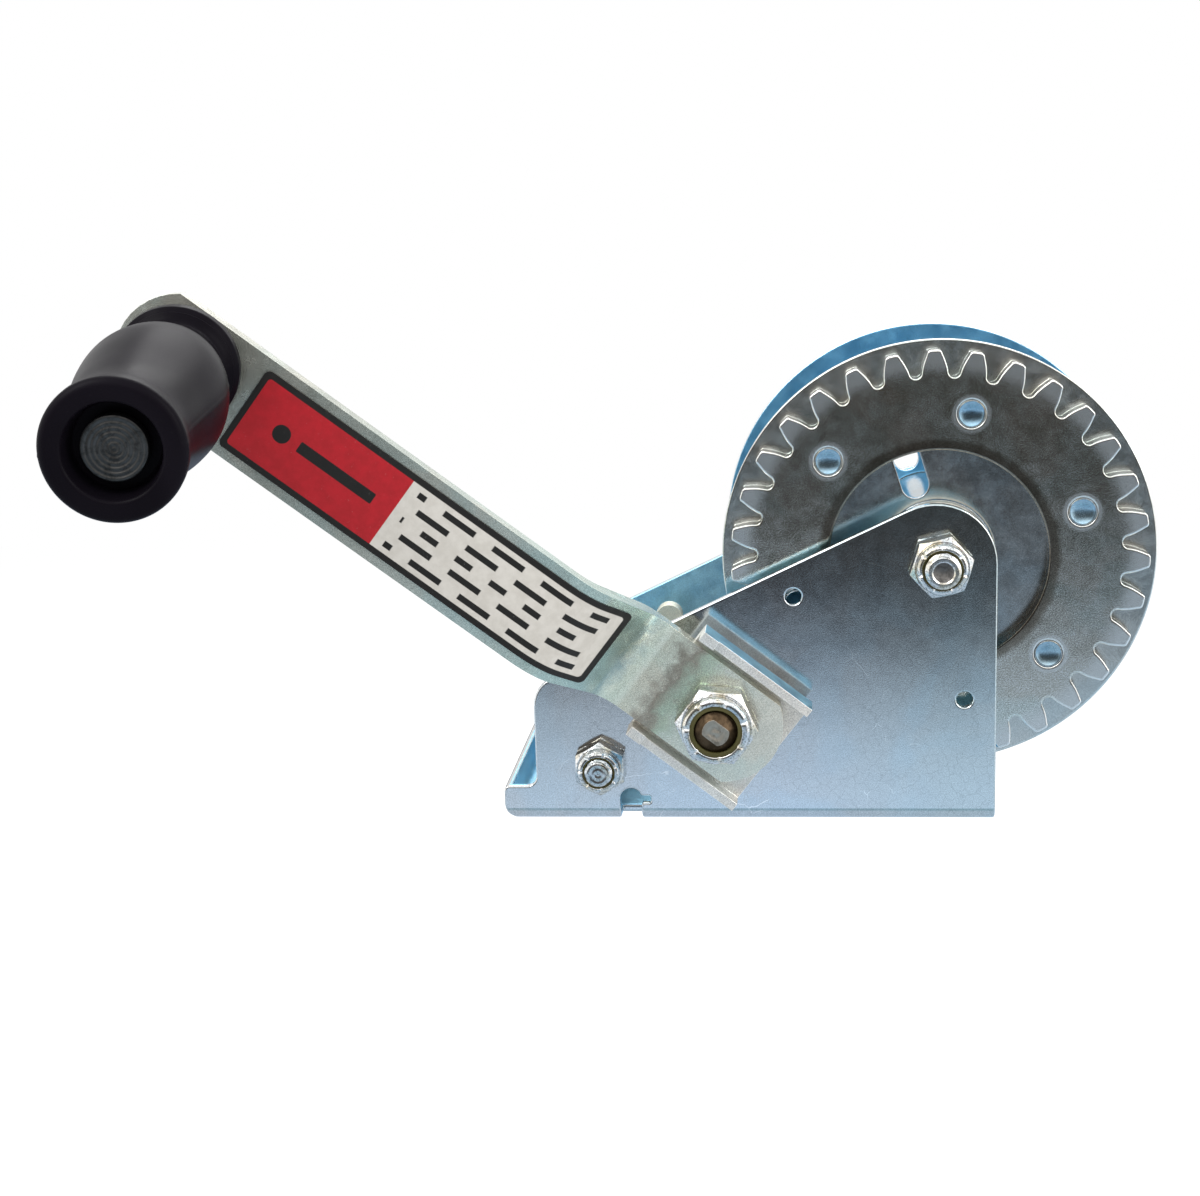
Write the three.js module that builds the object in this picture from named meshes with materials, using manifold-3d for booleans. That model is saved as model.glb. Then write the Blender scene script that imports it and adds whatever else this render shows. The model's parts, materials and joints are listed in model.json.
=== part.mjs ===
// Boat trailer winch: a single-speed hand winch with a stamped frame, a drum turned by a 3.1:1 spur pair,
// a ratchet with a lever pawl, and a cranked handle with a free-turning grip.
// Millimetres, +Z up. The origin is the centre of the base's underside, +X runs towards the drum and the
// crank is on the -Y side.

import * as THREE from 'three';
import { mergeVertices } from 'three/addons/utils/BufferGeometryUtils.js';
import Module from 'manifold-3d';

const wasm = await Module();
wasm.setup();

// ---- driving dimensions ----

const FRAME_LENGTH = 143;
const FRAME_WIDTH = 72;
const SHEET = 2.5;
const BEND_RADIUS = 4;

const DRUM_X = 55.5;
const DRUM_Z = 76.2;
const FLANGE_RADIUS = 62;
const FLANGE_SHEET = 2;
const CORE_RADIUS = 16;

const GEAR_MODULE = 3.6;
const DRUM_TEETH = 31;
const PINION_TEETH = 10;
const PINION_SHIFT = 0.51;
const TOOTH_TRADE = 0.3;
const TOOTH_CLEARANCE = 0.2;
const PINION_TIP_CUT = 0.5;
const CENTRE_DISTANCE = 75.5;
const MESH_ANGLE = THREE.MathUtils.degToRad(33.3);
const RATCHET_TEETH = 12;
const RATCHET_RADIUS = 14.5;
const RATCHET_DEPTH = 3;
const RATCHET_PHASE = THREE.MathUtils.degToRad(0.8);

const PAWL_X = -42.5;
const PAWL_Z = 17.2;
const PAWL_TRAVEL = THREE.MathUtils.degToRad(5.2);

const CRANK_RADIUS = 174.6;
const CRANK_ANGLE = THREE.MathUtils.degToRad(142.2);
const ARM_WIDTH = 30;
const ARM_THICKNESS = 5;
const HUB_END_RADIUS = 19;
const GRIP_END_RADIUS = 18;
const GRIP_LENGTH = 95;
const GRIP_TILT = THREE.MathUtils.degToRad(9.5);

const GAP = 0.3;
const RUNNING = 0.1;
const ROUND_STEPS = 24;
const FINE_STEPS = 64;

// ---- places worked out from them ----

const PLATE_OUTSIDE = FRAME_WIDTH / 2;
const PLATE_INSIDE = PLATE_OUTSIDE - SHEET;
const FRAME_LEFT = -FRAME_LENGTH / 2;
const FRAME_RIGHT = FRAME_LENGTH / 2;
const DRIVE_X = DRUM_X - CENTRE_DISTANCE * Math.cos(MESH_ANGLE);
const DRIVE_Z = DRUM_Z - CENTRE_DISTANCE * Math.sin(MESH_ANGLE);

const GEAR_FRONT = -28.2;
const GEAR_BACK = GEAR_FRONT + 5.5;
const REAR_FLANGE_BACK = 30.2;
const REAR_FLANGE_FRONT = REAR_FLANGE_BACK - FLANGE_SHEET;

// ---- looks ----

function metal(color, roughness = 0.4) {
  return new THREE.MeshStandardMaterial({ color, roughness, metalness: 0.9 });
}

function plastic(color, roughness = 0.4) {
  return new THREE.MeshStandardMaterial({ color, roughness, metalness: 0 });
}

const LOOKS = {
  sheet: metal(0x8f9ba8, 0.38),
  drum: metal(0x6f7778, 0.42),
  gear: metal(0x7c8284, 0.4),
  shaft: metal(0x8a8a86, 0.35),
  bolt: metal(0xb9bec2, 0.3),
  arm: metal(0x9aa39c, 0.4),
  pawl: metal(0xc9bfa2, 0.5),
  spring: metal(0x6b6f73, 0.35),
  nylon: plastic(0x5a5733, 0.55),
  bush: plastic(0xd8d6cc, 0.6),
  grip: plastic(0x17151a, 0.3),
  label: plastic(0xd9d7cf, 0.5),
};

// ---- solids ----

function solidOf(geometry) {
  const bare = geometry.clone();
  bare.deleteAttribute('normal');
  bare.deleteAttribute('uv');
  const merged = mergeVertices(bare, 1e-4);
  const corners = [];
  for (let i = 0; i < merged.index.count; i += 3) {
    const [a, b, c] = [0, 1, 2].map((k) => merged.index.getX(i + k));
    if (a !== b && b !== c && c !== a) corners.push(a, b, c);
  }
  const mesh = new wasm.Mesh({
    numProp: 3,
    vertProperties: new Float32Array(merged.attributes.position.array),
    triVerts: new Uint32Array(corners),
  });
  return new wasm.Manifold(mesh);
}

function geometryOf(solid) {
  const mesh = solid.getMesh();
  const geometry = new THREE.BufferGeometry();
  geometry.setAttribute('position', new THREE.BufferAttribute(new Float32Array(mesh.vertProperties), 3));
  geometry.setIndex(new THREE.BufferAttribute(new Uint32Array(mesh.triVerts), 1));
  geometry.computeVertexNormals();
  return geometry;
}

function point(x, y) {
  return new THREE.Vector2(x, y);
}

/** A flat outline drawn in X and Z, extruded along Y from low to high. */
function plate(outline, low, high) {
  const settings = { depth: high - low, bevelEnabled: false };
  const geometry = new THREE.ExtrudeGeometry(new THREE.Shape(outline), settings);
  geometry.rotateX(Math.PI / 2);
  geometry.translate(0, high, 0);
  return solidOf(geometry);
}

/** A flat outline drawn in X and Y, extruded along Z from low to high. */
function slab(outline, low, high) {
  const settings = { depth: high - low, bevelEnabled: false };
  const geometry = new THREE.ExtrudeGeometry(new THREE.Shape(outline), settings);
  geometry.translate(0, 0, low);
  return solidOf(geometry);
}

/** A ring or disc turned about the line x, z parallel to Y, from a closed loop of [radius, y] pairs. */
function turned(pairs, x = 0, z = 0, steps = ROUND_STEPS) {
  const loop = pairs.map(([radius, y]) => point(radius, y));
  if (THREE.ShapeUtils.area(loop) < 0) loop.reverse();
  loop.push(loop[0].clone());
  const geometry = new THREE.LatheGeometry(loop, steps);
  geometry.translate(x, 0, z);
  return solidOf(geometry);
}

function tube(inner, outer, low, high, x = 0, z = 0, steps = ROUND_STEPS) {
  return turned([[inner, low], [outer, low], [outer, high], [inner, high]], x, z, steps);
}

function rod(radius, low, high, x = 0, z = 0, steps = ROUND_STEPS) {
  return tube(0, radius, low, high, x, z, steps);
}

function box(lengthX, lengthY, lengthZ, x, y, z) {
  const geometry = new THREE.BoxGeometry(lengthX, lengthY, lengthZ);
  geometry.translate(x, y, z);
  return solidOf(geometry);
}

function cutAll(solid, tools) {
  return tools.reduce((left, tool) => left.subtract(tool), solid);
}

// ---- outlines ----

function arcPoints(centreX, centreZ, radius, from, to, steps) {
  return Array.from({ length: steps + 1 }, (_, i) => {
    const angle = from + ((to - from) * i) / steps;
    return point(centreX + radius * Math.cos(angle), centreZ + radius * Math.sin(angle));
  });
}

/** Corner points joined by straight lines, each corner rounded by its own radius. */
function roundedOutline(corners, steps = 6) {
  const count = corners.length;
  return corners.flatMap(([x, z, radius = 0], i) => {
    if (radius === 0) return [point(x, z)];
    const before = corners[(i + count - 1) % count];
    const after = corners[(i + 1) % count];
    const inward = point(before[0] - x, before[1] - z).normalize();
    const onward = point(after[0] - x, after[1] - z).normalize();
    const half = Math.acos(THREE.MathUtils.clamp(inward.dot(onward), -1, 1)) / 2;
    const middle = inward.clone().add(onward).normalize().multiplyScalar(radius / Math.sin(half));
    const centre = point(x, z).add(middle);
    const start = point(x, z).addScaledVector(inward, radius / Math.tan(half)).sub(centre);
    const end = point(x, z).addScaledVector(onward, radius / Math.tan(half)).sub(centre);
    const from = Math.atan2(start.y, start.x);
    let sweep = Math.atan2(end.y, end.x) - from;
    if (sweep > Math.PI) sweep -= 2 * Math.PI;
    if (sweep < -Math.PI) sweep += 2 * Math.PI;
    return arcPoints(centre.x, centre.y, radius, from, from + sweep, steps);
  });
}

function rectangle(lowX, highX, lowZ, highZ, radius = 0) {
  return roundedOutline([
    [lowX, lowZ, radius],
    [highX, lowZ, radius],
    [highX, highZ, radius],
    [lowX, highZ, radius],
  ]);
}

function hexagon(acrossFlats, x, z, turn = 0) {
  return Array.from({ length: 6 }, (_, i) => {
    const angle = turn + (i * Math.PI) / 3;
    const radius = acrossFlats / 2 / Math.cos(Math.PI / 6);
    return point(x + radius * Math.cos(angle), z + radius * Math.sin(angle));
  });
}

/** A slot with round ends between two points. */
function obround(x1, z1, x2, z2, radius) {
  const along = Math.atan2(z2 - z1, x2 - x1);
  const near = arcPoints(x1, z1, radius, along + Math.PI / 2, along + Math.PI * 1.5, 10);
  const far = arcPoints(x2, z2, radius, along - Math.PI / 2, along + Math.PI / 2, 10);
  return [...near, ...far];
}

/** An involute spur outline: rounded tips, and U-shaped roots between the flanks. */
function gearOutline(teeth, { shift, rootDepth, tipCut, thinning, phase }) {
  const pressure = THREE.MathUtils.degToRad(20);
  const pitchRadius = (GEAR_MODULE * teeth) / 2;
  const baseRadius = pitchRadius * Math.cos(pressure);
  const tipRadius = pitchRadius + GEAR_MODULE * (1 + shift) - tipCut;
  const rootRadius = pitchRadius - GEAR_MODULE * (rootDepth - shift);
  const involute = (angle) => Math.tan(angle) - angle;
  const halfAtPitch = Math.PI / 2 / teeth + (2 * shift * Math.tan(pressure)) / teeth - thinning / pitchRadius;
  const halfAt = (radius) => {
    const angle = Math.acos(Math.min(1, baseRadius / radius));
    return halfAtPitch + involute(pressure) - involute(angle);
  };
  const flankStart = Math.max(baseRadius, rootRadius + 0.42 * GEAR_MODULE);
  const flankEnd = tipRadius - 0.28 * GEAR_MODULE;
  const flankSteps = 3;
  const rootSteps = 4;
  const flank = Array.from({ length: flankSteps + 1 }, (_, i) => {
    const radius = flankStart + ((flankEnd - flankStart) * i) / flankSteps;
    return [radius, halfAt(radius)];
  });
  flank.push([tipRadius - 0.08 * GEAR_MODULE, halfAt(flankEnd) * 0.78], [tipRadius, halfAt(flankEnd) * 0.4]);
  const halfGap = Math.PI / teeth - halfAt(flankStart);
  const outline = [];
  const add = (radius, angle) => outline.push(point(radius * Math.cos(angle), radius * Math.sin(angle)));
  for (let tooth = 0; tooth < teeth; tooth += 1) {
    const middle = phase + (2 * Math.PI * tooth) / teeth;
    flank.forEach(([radius, half]) => add(radius, middle - half));
    [...flank].reverse().forEach(([radius, half]) => add(radius, middle + half));
    for (let i = 1; i < rootSteps; i += 1) {
      const across = -Math.cos((Math.PI * i) / rootSteps);
      const depth = Math.sin((Math.PI * i) / rootSteps);
      add(flankStart - (flankStart - rootRadius) * depth, middle + Math.PI / teeth + halfGap * across);
    }
  }
  return outline;
}

function shifted(outline, x, z) {
  return outline.map((p) => point(p.x + x, p.y + z));
}

// ---- frame ----

const MOUNT_X = 46;
const MOUNT_Y = 20;
const MOUNT_BOLT_RADIUS = 5.2;

/** The side view of the stamped frame, with the ear of the end lip at its low left corner. */
function frameSideOutline() {
  const apexRadius = 17.5;
  const apexX = FRAME_RIGHT - apexRadius;
  const apexZ = DRUM_Z - 0.4;
  const slope = Math.atan(0.47);
  const leftEdge = -61.8;
  const earTop = 10.6;
  const top = arcPoints(apexX, apexZ, apexRadius, 0, Math.PI / 2 + slope, 14);
  const touch = top[top.length - 1];
  const cornerZ = touch.y - Math.tan(slope) * (touch.x - leftEdge);
  const lower = roundedOutline([
    [touch.x, touch.y],
    [leftEdge, cornerZ, 9],
    [leftEdge, earTop, 3],
    [FRAME_LEFT, earTop, 1.5],
    [FRAME_LEFT, 0, 5],
    [FRAME_RIGHT, 0],
  ]);
  return [...top, ...lower.slice(1)];
}

/** One bent sheet: the side outline cut from a U-shaped trough, hollowed to a sheet, then pierced. */
function makeFrame() {
  const above = DRUM_Z + 40;
  const bend = roundedOutline([
    [-PLATE_OUTSIDE, 0, BEND_RADIUS],
    [PLATE_OUTSIDE, 0, BEND_RADIUS],
    [PLATE_OUTSIDE, above],
    [-PLATE_OUTSIDE, above],
  ]);
  const length = { depth: FRAME_LENGTH, bevelEnabled: false };
  const trough = new THREE.ExtrudeGeometry(new THREE.Shape(bend), length);
  trough.rotateX(Math.PI / 2);
  trough.rotateZ(Math.PI / 2);
  trough.translate(FRAME_LEFT, 0, 0);
  const outside = solidOf(trough).intersect(plate(frameSideOutline(), -PLATE_OUTSIDE, PLATE_OUTSIDE));
  const insideOutline = roundedOutline([
    [FRAME_LEFT + SHEET, SHEET, SHEET],
    [FRAME_RIGHT + SHEET, SHEET],
    [FRAME_RIGHT + SHEET, above],
    [FRAME_LEFT + SHEET, above],
  ]);
  const inside = plate(insideOutline, -PLATE_INSIDE, PLATE_INSIDE);
  const through = (radius, x, z) => rod(radius, -PLATE_OUTSIDE - 1, PLATE_OUTSIDE + 1, x, z);
  const boltHoles = [
    through(5.2, DRUM_X, DRUM_Z),
    through(9.1, DRIVE_X, DRIVE_Z),
    through(4.2, PAWL_X, PAWL_Z),
  ];
  const spareHoles = [through(2.3, 14, DRUM_Z - 9.2), through(2.3, 62.5, DRUM_Z - 39.8)];
  const bendSlot = plate(obround(-34, 0, -34, 6.8, 3.1), -PLATE_OUTSIDE - 1, -PLATE_OUTSIDE + 8);
  const bendNotch = plate(rectangle(-32, -28.2, 5.4, 7.6, 0.6), -PLATE_OUTSIDE - 1, -PLATE_OUTSIDE + 5);
  const mountSlot = (x, y) => slab(obround(x - 4, y, x + 4, y, MOUNT_BOLT_RADIUS), -1, SHEET + 1);
  const mountSlots = [mountSlot(-MOUNT_X, 0), mountSlot(MOUNT_X, -MOUNT_Y), mountSlot(MOUNT_X, MOUNT_Y)];
  return cutAll(outside, [inside, ...boltHoles, ...spareHoles, bendSlot, bendNotch, ...mountSlots]);
}

// ---- drum ----

const ANCHOR_ANGLE = THREE.MathUtils.degToRad(107.5);
const RIVET_CIRCLE = 42.2;
const RIVET_RADIUS = 4;
const RIVET_PHASE = THREE.MathUtils.degToRad(17.8);

function rivetPlaces() {
  return Array.from({ length: 6 }, (_, i) => {
    const angle = RIVET_PHASE + (i * Math.PI) / 3;
    return [DRUM_X + RIVET_CIRCLE * Math.cos(angle), DRUM_Z + RIVET_CIRCLE * Math.sin(angle)];
  });
}

function rivetHoles(low, high) {
  return rivetPlaces().map(([x, z]) => rod(RIVET_RADIUS, low - 1, high + 1, x, z, 16));
}

function makeFlange(low, high, holes) {
  const disc = tube(CORE_RADIUS + RUNNING, FLANGE_RADIUS, low, high, DRUM_X, DRUM_Z, FINE_STEPS);
  const [cos, sin] = [Math.cos(ANCHOR_ANGLE), Math.sin(ANCHOR_ANGLE)];
  const ends = [21.4, 32].flatMap((radius) => [DRUM_X + radius * cos, DRUM_Z + radius * sin]);
  const anchorSlot = plate(obround(...ends, 3.8), low - 1, high + 1);
  return cutAll(disc, [anchorSlot, ...holes]);
}

function makeDrumGear() {
  const gap = MESH_ANGLE + Math.PI;
  const phase = gap + Math.PI / DRUM_TEETH;
  const teeth = { shift: 0, rootDepth: 1.12, tipCut: 0, thinning: -TOOTH_TRADE, phase };
  const outline = gearOutline(DRUM_TEETH, teeth);
  const blank = plate(shifted(outline, DRUM_X, DRUM_Z), GEAR_FRONT, GEAR_BACK);
  const opening = rod(31.1, GEAR_FRONT - 1, GEAR_BACK + 1, DRUM_X, DRUM_Z, FINE_STEPS);
  return cutAll(blank, [opening, ...rivetHoles(GEAR_FRONT, GEAR_BACK)]);
}

/** A rivet with a dished face flush with the gear and a flat head inside the drum. */
function makeRivet(x, z) {
  const radius = RIVET_RADIUS - RUNNING;
  const headFront = GEAR_BACK + FLANGE_SHEET + RUNNING;
  const profile = [
    [0, GEAR_FRONT + 1.5],
    [radius * 0.55, GEAR_FRONT + 1.1],
    [radius * 0.9, GEAR_FRONT],
    [radius, GEAR_FRONT],
    [radius, headFront],
    [radius + 1.6, headFront],
    [radius + 1.2, headFront + 1.2],
    [0, headFront + 1.6],
  ];
  return turned(profile, x, z, 16);
}

const SLEEVE_RADIUS = 8;
const BUSH_RADIUS = 13.4;

/** A flanged bush between the drum core and the fixed sleeve; its flange spaces the drum from the plate. */
function makeDrumBush(inner, flangeInner, flangeOuter) {
  const bore = SLEEVE_RADIUS + RUNNING;
  const profile = [
    [bore, inner],
    [BUSH_RADIUS, inner],
    [BUSH_RADIUS, flangeInner],
    [CORE_RADIUS - 0.5, flangeInner],
    [CORE_RADIUS - 0.5, flangeOuter],
    [bore, flangeOuter],
  ];
  return turned(profile, DRUM_X, DRUM_Z);
}

// ---- fasteners: each is drawn about the origin and pointing along -Y ----

/** A lock nut seated at y = 0: a hexagon, then the collar that holds the nylon ring. */
function makeLockNut(acrossFlats, boltRadius, height, turn) {
  const hexHeight = height * 0.68;
  const hex = plate(hexagon(acrossFlats, 0, 0, turn), -hexHeight, 0);
  const corner = acrossFlats / 2 / Math.cos(Math.PI / 6);
  const chamfer = turned(
    [[0, -hexHeight], [acrossFlats / 2, -hexHeight], [corner, -hexHeight * 0.8], [corner, 0], [0, 0]],
  );
  const collarRadius = acrossFlats / 2 - 0.4;
  const collar = turned(
    [[0, -height], [collarRadius - 1.2, -height], [collarRadius, -height + 1.2], [collarRadius, -1], [0, -1]],
  );
  const thread = rod(boltRadius + RUNNING, -height - 1, 1);
  const pocket = rod(nylonRadius(acrossFlats, boltRadius) + RUNNING, -height - 1, -height * 0.72);
  return cutAll(hex.intersect(chamfer).add(collar), [thread, pocket]);
}

function nylonRadius(acrossFlats, boltRadius) {
  return (acrossFlats / 2 + boltRadius) / 2 - 0.4;
}

function makeNylonRing(acrossFlats, boltRadius, height) {
  const outer = nylonRadius(acrossFlats, boltRadius);
  return tube(boltRadius + RUNNING, outer, -height + 0.5, -height * 0.72 - RUNNING);
}

/** A hexagon-head bolt whose head seats on the rear plate and whose end stands out at the front. */
function makeBolt(radius, acrossFlats, headHeight, frontEnd, hollow) {
  const seat = PLATE_OUTSIDE + RUNNING;
  const head = plate(hexagon(acrossFlats, 0, 0, 0.3), seat, seat + headHeight);
  const shank = turned(
    [[0, frontEnd], [radius - 0.9, frontEnd], [radius, frontEnd + 0.9], [radius, seat + 1], [0, seat + 1]],
  );
  const bolt = head.add(shank);
  if (!hollow) return bolt;
  const dish = turned([[0, frontEnd + 1.8], [radius * 0.5, frontEnd - 1], [0, frontEnd - 1]]);
  return bolt.subtract(dish);
}

// ---- drive: drawn about the drive axis, turned into place by its group ----

const JOURNAL_RADIUS = 7;
const FLAT_HEIGHT = 5.4;
const THREAD_RADIUS = 6;
const REAR_SHAFT_END = 41;
const FRONT_SHAFT_END = -63.6;
const PINION_FRONT = -31.4;
const PINION_BACK = -23.2;
const RATCHET_FRONT = 17.5;
const RATCHET_BACK = 24.5;
const WEB_BACK = -42.5;
const WEB_FRONT = -45.3;
const ARM_BACK = WEB_FRONT - GAP;
const ARM_FRONT = ARM_BACK - ARM_THICKNESS;
const CRANK_NUT_SEAT = ARM_FRONT - GAP;
const CRANK_NUT = { acrossFlats: 20.5, height: 12.2 };

/** The double-D outline that keys the pinion, ratchet, bracket and arm to the shaft. */
function doubleD(clearance) {
  const radius = JOURNAL_RADIUS + clearance;
  const half = FLAT_HEIGHT + clearance;
  const corner = Math.asin(half / radius);
  return [
    ...arcPoints(0, 0, radius, -corner, corner, 8),
    ...arcPoints(0, 0, radius, Math.PI - corner, Math.PI + corner, 8),
  ];
}

function makeDriveShaft() {
  const keyed = plate(doubleD(0), CRANK_NUT_SEAT, RATCHET_BACK);
  const rear = tube(0, JOURNAL_RADIUS, RATCHET_BACK + GAP, REAR_SHAFT_END);
  const shoulder = rod(JOURNAL_RADIUS + 1.5, PINION_BACK + RUNNING, RATCHET_FRONT - RUNNING);
  const neck = rod(FLAT_HEIGHT, CRANK_NUT_SEAT - 2, REAR_SHAFT_END);
  const thread = turned(
    [[0, FRONT_SHAFT_END], [THREAD_RADIUS - 1, FRONT_SHAFT_END], [THREAD_RADIUS, FRONT_SHAFT_END + 1],
      [THREAD_RADIUS, CRANK_NUT_SEAT], [0, CRANK_NUT_SEAT]],
  );
  const ringGroove = tube(5.9, JOURNAL_RADIUS + 1, 37.2, 38.4);
  return keyed.add(rear).add(shoulder).add(neck).add(thread).subtract(ringGroove);
}

function makePinion() {
  const phase = MESH_ANGLE - CRANK_ANGLE;
  const thinning = TOOTH_TRADE + 2 * TOOTH_CLEARANCE;
  const teeth = { shift: PINION_SHIFT, rootDepth: 1.25, tipCut: PINION_TIP_CUT, thinning, phase };
  const outline = gearOutline(PINION_TEETH, teeth);
  const bore = plate(doubleD(RUNNING), PINION_FRONT - 1, PINION_BACK + 1);
  return plate(outline, PINION_FRONT, PINION_BACK).subtract(bore);
}

/** Saw-shaped teeth: a steep face that the pawl catches and a long back that it rides over. */
function makeRatchet() {
  const rootRadius = RATCHET_RADIUS - RATCHET_DEPTH;
  const pitch = (2 * Math.PI) / RATCHET_TEETH;
  const outline = [];
  const add = (radius, angle) => outline.push(point(radius * Math.cos(angle), radius * Math.sin(angle)));
  for (let tooth = 0; tooth < RATCHET_TEETH; tooth += 1) {
    const start = RATCHET_PHASE + tooth * pitch;
    add(rootRadius, start);
    add(rootRadius, start + 0.18 * pitch);
    add(RATCHET_RADIUS, start + 0.78 * pitch);
    add(RATCHET_RADIUS, start + 0.96 * pitch);
  }
  const bore = plate(doubleD(RUNNING), RATCHET_FRONT - 1, RATCHET_BACK + 1);
  return plate(outline, RATCHET_FRONT, RATCHET_BACK).subtract(bore);
}

function makeBracket() {
  const [near, far] = [-19.3, 18.3];
  const roomWidth = ARM_WIDTH + 2.4;
  const outer = roomWidth / 2 + 2.6;
  const front = ARM_FRONT - 0.8;
  const block = box(far - near, WEB_BACK - front, outer * 2, (near + far) / 2, (WEB_BACK + front) / 2, 0);
  const room = box(far - near + 2, 20, roomWidth, (near + far) / 2, WEB_FRONT - 10, 0);
  const nib = (z) => box(5, 2, 3, far - 2.5, front, z);
  const channel = block.subtract(room).add(nib(outer - 1.5)).add(nib(1.5 - outer));
  return channel.subtract(plate(doubleD(RUNNING), WEB_FRONT - 1, WEB_BACK + 1));
}

/** The middle line of the arm in the plane of its bend: [distance from the hub, y]. */
function armMiddle() {
  const hubY = (ARM_FRONT + ARM_BACK) / 2;
  const corners = [
    new THREE.Vector2(-30, hubY),
    new THREE.Vector2(31.5, hubY),
    new THREE.Vector2(51.5, hubY - 24),
    new THREE.Vector2(CRANK_RADIUS + 30, hubY - 24 - 0.0525 * (CRANK_RADIUS - 21.5)),
  ];
  const blend = 7;
  const path = [corners[0]];
  for (const i of [1, 2]) {
    const before = corners[i - 1].clone().sub(corners[i]).setLength(blend).add(corners[i]);
    const after = corners[i + 1].clone().sub(corners[i]).setLength(blend).add(corners[i]);
    path.push(...new THREE.QuadraticBezierCurve(before, corners[i], after).getPoints(8));
  }
  path.push(corners[3]);
  return path;
}

/** The middle line moved sideways; positive is towards the frame. */
function offsetLine(line, distance) {
  return line.map((p, i) => {
    const ahead = line[Math.min(i + 1, line.length - 1)];
    const behind = line[Math.max(i - 1, 0)];
    const along = ahead.clone().sub(behind).normalize();
    return point(p.x - along.y * distance, p.y + along.x * distance);
  });
}

function bentStrip(back, front, width) {
  const middle = armMiddle();
  const outline = [...offsetLine(middle, -front), ...offsetLine(middle, back).reverse()];
  return slab(outline, -width / 2, width / 2);
}

function makeArm() {
  const half = ARM_WIDTH / 2;
  const hubCorner = Math.asin(half / HUB_END_RADIUS);
  const gripCorner = Math.asin(half / GRIP_END_RADIUS);
  const plan = [
    ...arcPoints(0, 0, HUB_END_RADIUS, Math.PI - hubCorner, Math.PI + hubCorner, 12),
    ...arcPoints(CRANK_RADIUS, 0, GRIP_END_RADIUS, -gripCorner, gripCorner, 12),
  ];
  const bar = bentStrip(ARM_THICKNESS / 2, ARM_THICKNESS / 2, ARM_WIDTH + 2).intersect(plate(plan, -120, 0));
  const pinHole = rod(GRIP_PIN_RADIUS + 0.6, -120, 0, CRANK_RADIUS, 0);
  return cutAll(bar, [plate(doubleD(RUNNING), ARM_FRONT - 1, ARM_BACK + 1), pinHole]);
}

const LABEL_START = 37.5;
const LABEL_END = 155;
const LABEL_WIDTH = 24.6;
const LABEL_CORNER = 1.6;

function makeLabel() {
  const inner = ARM_THICKNESS / 2 + RUNNING;
  const strip = bentStrip(-inner, inner + 0.3, LABEL_WIDTH + 2);
  const plan = rectangle(LABEL_START, LABEL_END, -LABEL_WIDTH / 2, LABEL_WIDTH / 2, LABEL_CORNER);
  return strip.intersect(plate(plan, -120, 0));
}

// ---- grip: drawn about its own axis, with the arm's front face at y = 0 and the grip along -Y ----

const GRIP_PIN_RADIUS = 5;
const GRIP_BORE = GRIP_PIN_RADIUS + RUNNING;
const GRIP_START = -4.4;
const GRIP_END = GRIP_START - GRIP_LENGTH + 2;
const PIN_HEAD_RADIUS = 7.6;
const RECESS_RADIUS = 11.2;

/** A turned plastic grip: base flange, neck, swelling barrel, flared lip and a recess for the pin's head. */
function makeGrip() {
  const barrel = new THREE.SplineCurve([
    point(12.8, GRIP_START - 9),
    point(13.6, GRIP_START - 16),
    point(16.6, GRIP_START - 27),
    point(18.2, GRIP_START - 39),
    point(17.9, GRIP_START - 50),
    point(16.3, GRIP_START - 64),
    point(15.0, GRIP_START - 77),
    point(15.3, GRIP_START - 85),
  ]).getPoints(14).map((p) => [p.x, p.y]);
  const profile = [
    [GRIP_BORE, GRIP_START],
    [15.2, GRIP_START],
    [16.4, GRIP_START - 1.2],
    [16.4, GRIP_START - 5],
    [15.2, GRIP_START - 6.4],
    ...barrel,
    [16.4, GRIP_START - 88.5],
    [16.5, GRIP_END + 1.5],
    [15.4, GRIP_END],
    [RECESS_RADIUS + 1, GRIP_END],
    [RECESS_RADIUS, GRIP_END + 1],
    [RECESS_RADIUS - 1, GRIP_END + 8],
    [GRIP_BORE, GRIP_END + 8],
  ];
  return turned(profile, 0, 0, 40);
}

/** The pin: riveted behind the arm, a shoulder in front of it, and a turned head in the grip's recess. */
function makeGripPin() {
  const seat = GRIP_END + 8;
  const profile = [
    [0, 8.6],
    [5.5, 8.6],
    [7.5, 7.4],
    [7.5, 6.2],
    [GRIP_PIN_RADIUS - 1, 6.2],
    [GRIP_PIN_RADIUS - 1, -1.6],
    [9, -1.6],
    [9, -3.6],
    [GRIP_PIN_RADIUS, -3.6],
    [GRIP_PIN_RADIUS, seat - 1.6],
    [PIN_HEAD_RADIUS, seat - 1.6],
    [PIN_HEAD_RADIUS, seat - 4.2],
    [PIN_HEAD_RADIUS - 0.6, seat - 4.8],
    [0, seat - 4.8],
  ];
  return turned(profile);
}

// ---- pawl ----

const PAWL_FRONT = 18;
const PAWL_BACK = 24;
const SPACER_RADIUS = 6;
const PAWL_HUB = 9.5;

/** The nose fits a gap of the ratchet once the pawl has turned by its travel; this outline is released. */
function pawlNoseOutline() {
  const tip = RATCHET_RADIUS - RATCHET_DEPTH + 0.5;
  const base = RATCHET_RADIUS + 3;
  const steepFace = CRANK_ANGLE + RATCHET_PHASE;
  return [[tip, 1.8], [tip, 5], [base, 15], [base, 1.2]].map(([radius, degreesPast]) => {
    const angle = steepFace + THREE.MathUtils.degToRad(degreesPast);
    const engaged = point(DRIVE_X + radius * Math.cos(angle), DRIVE_Z + radius * Math.sin(angle));
    return engaged.rotateAround(point(PAWL_X, PAWL_Z), PAWL_TRAVEL);
  });
}

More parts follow.
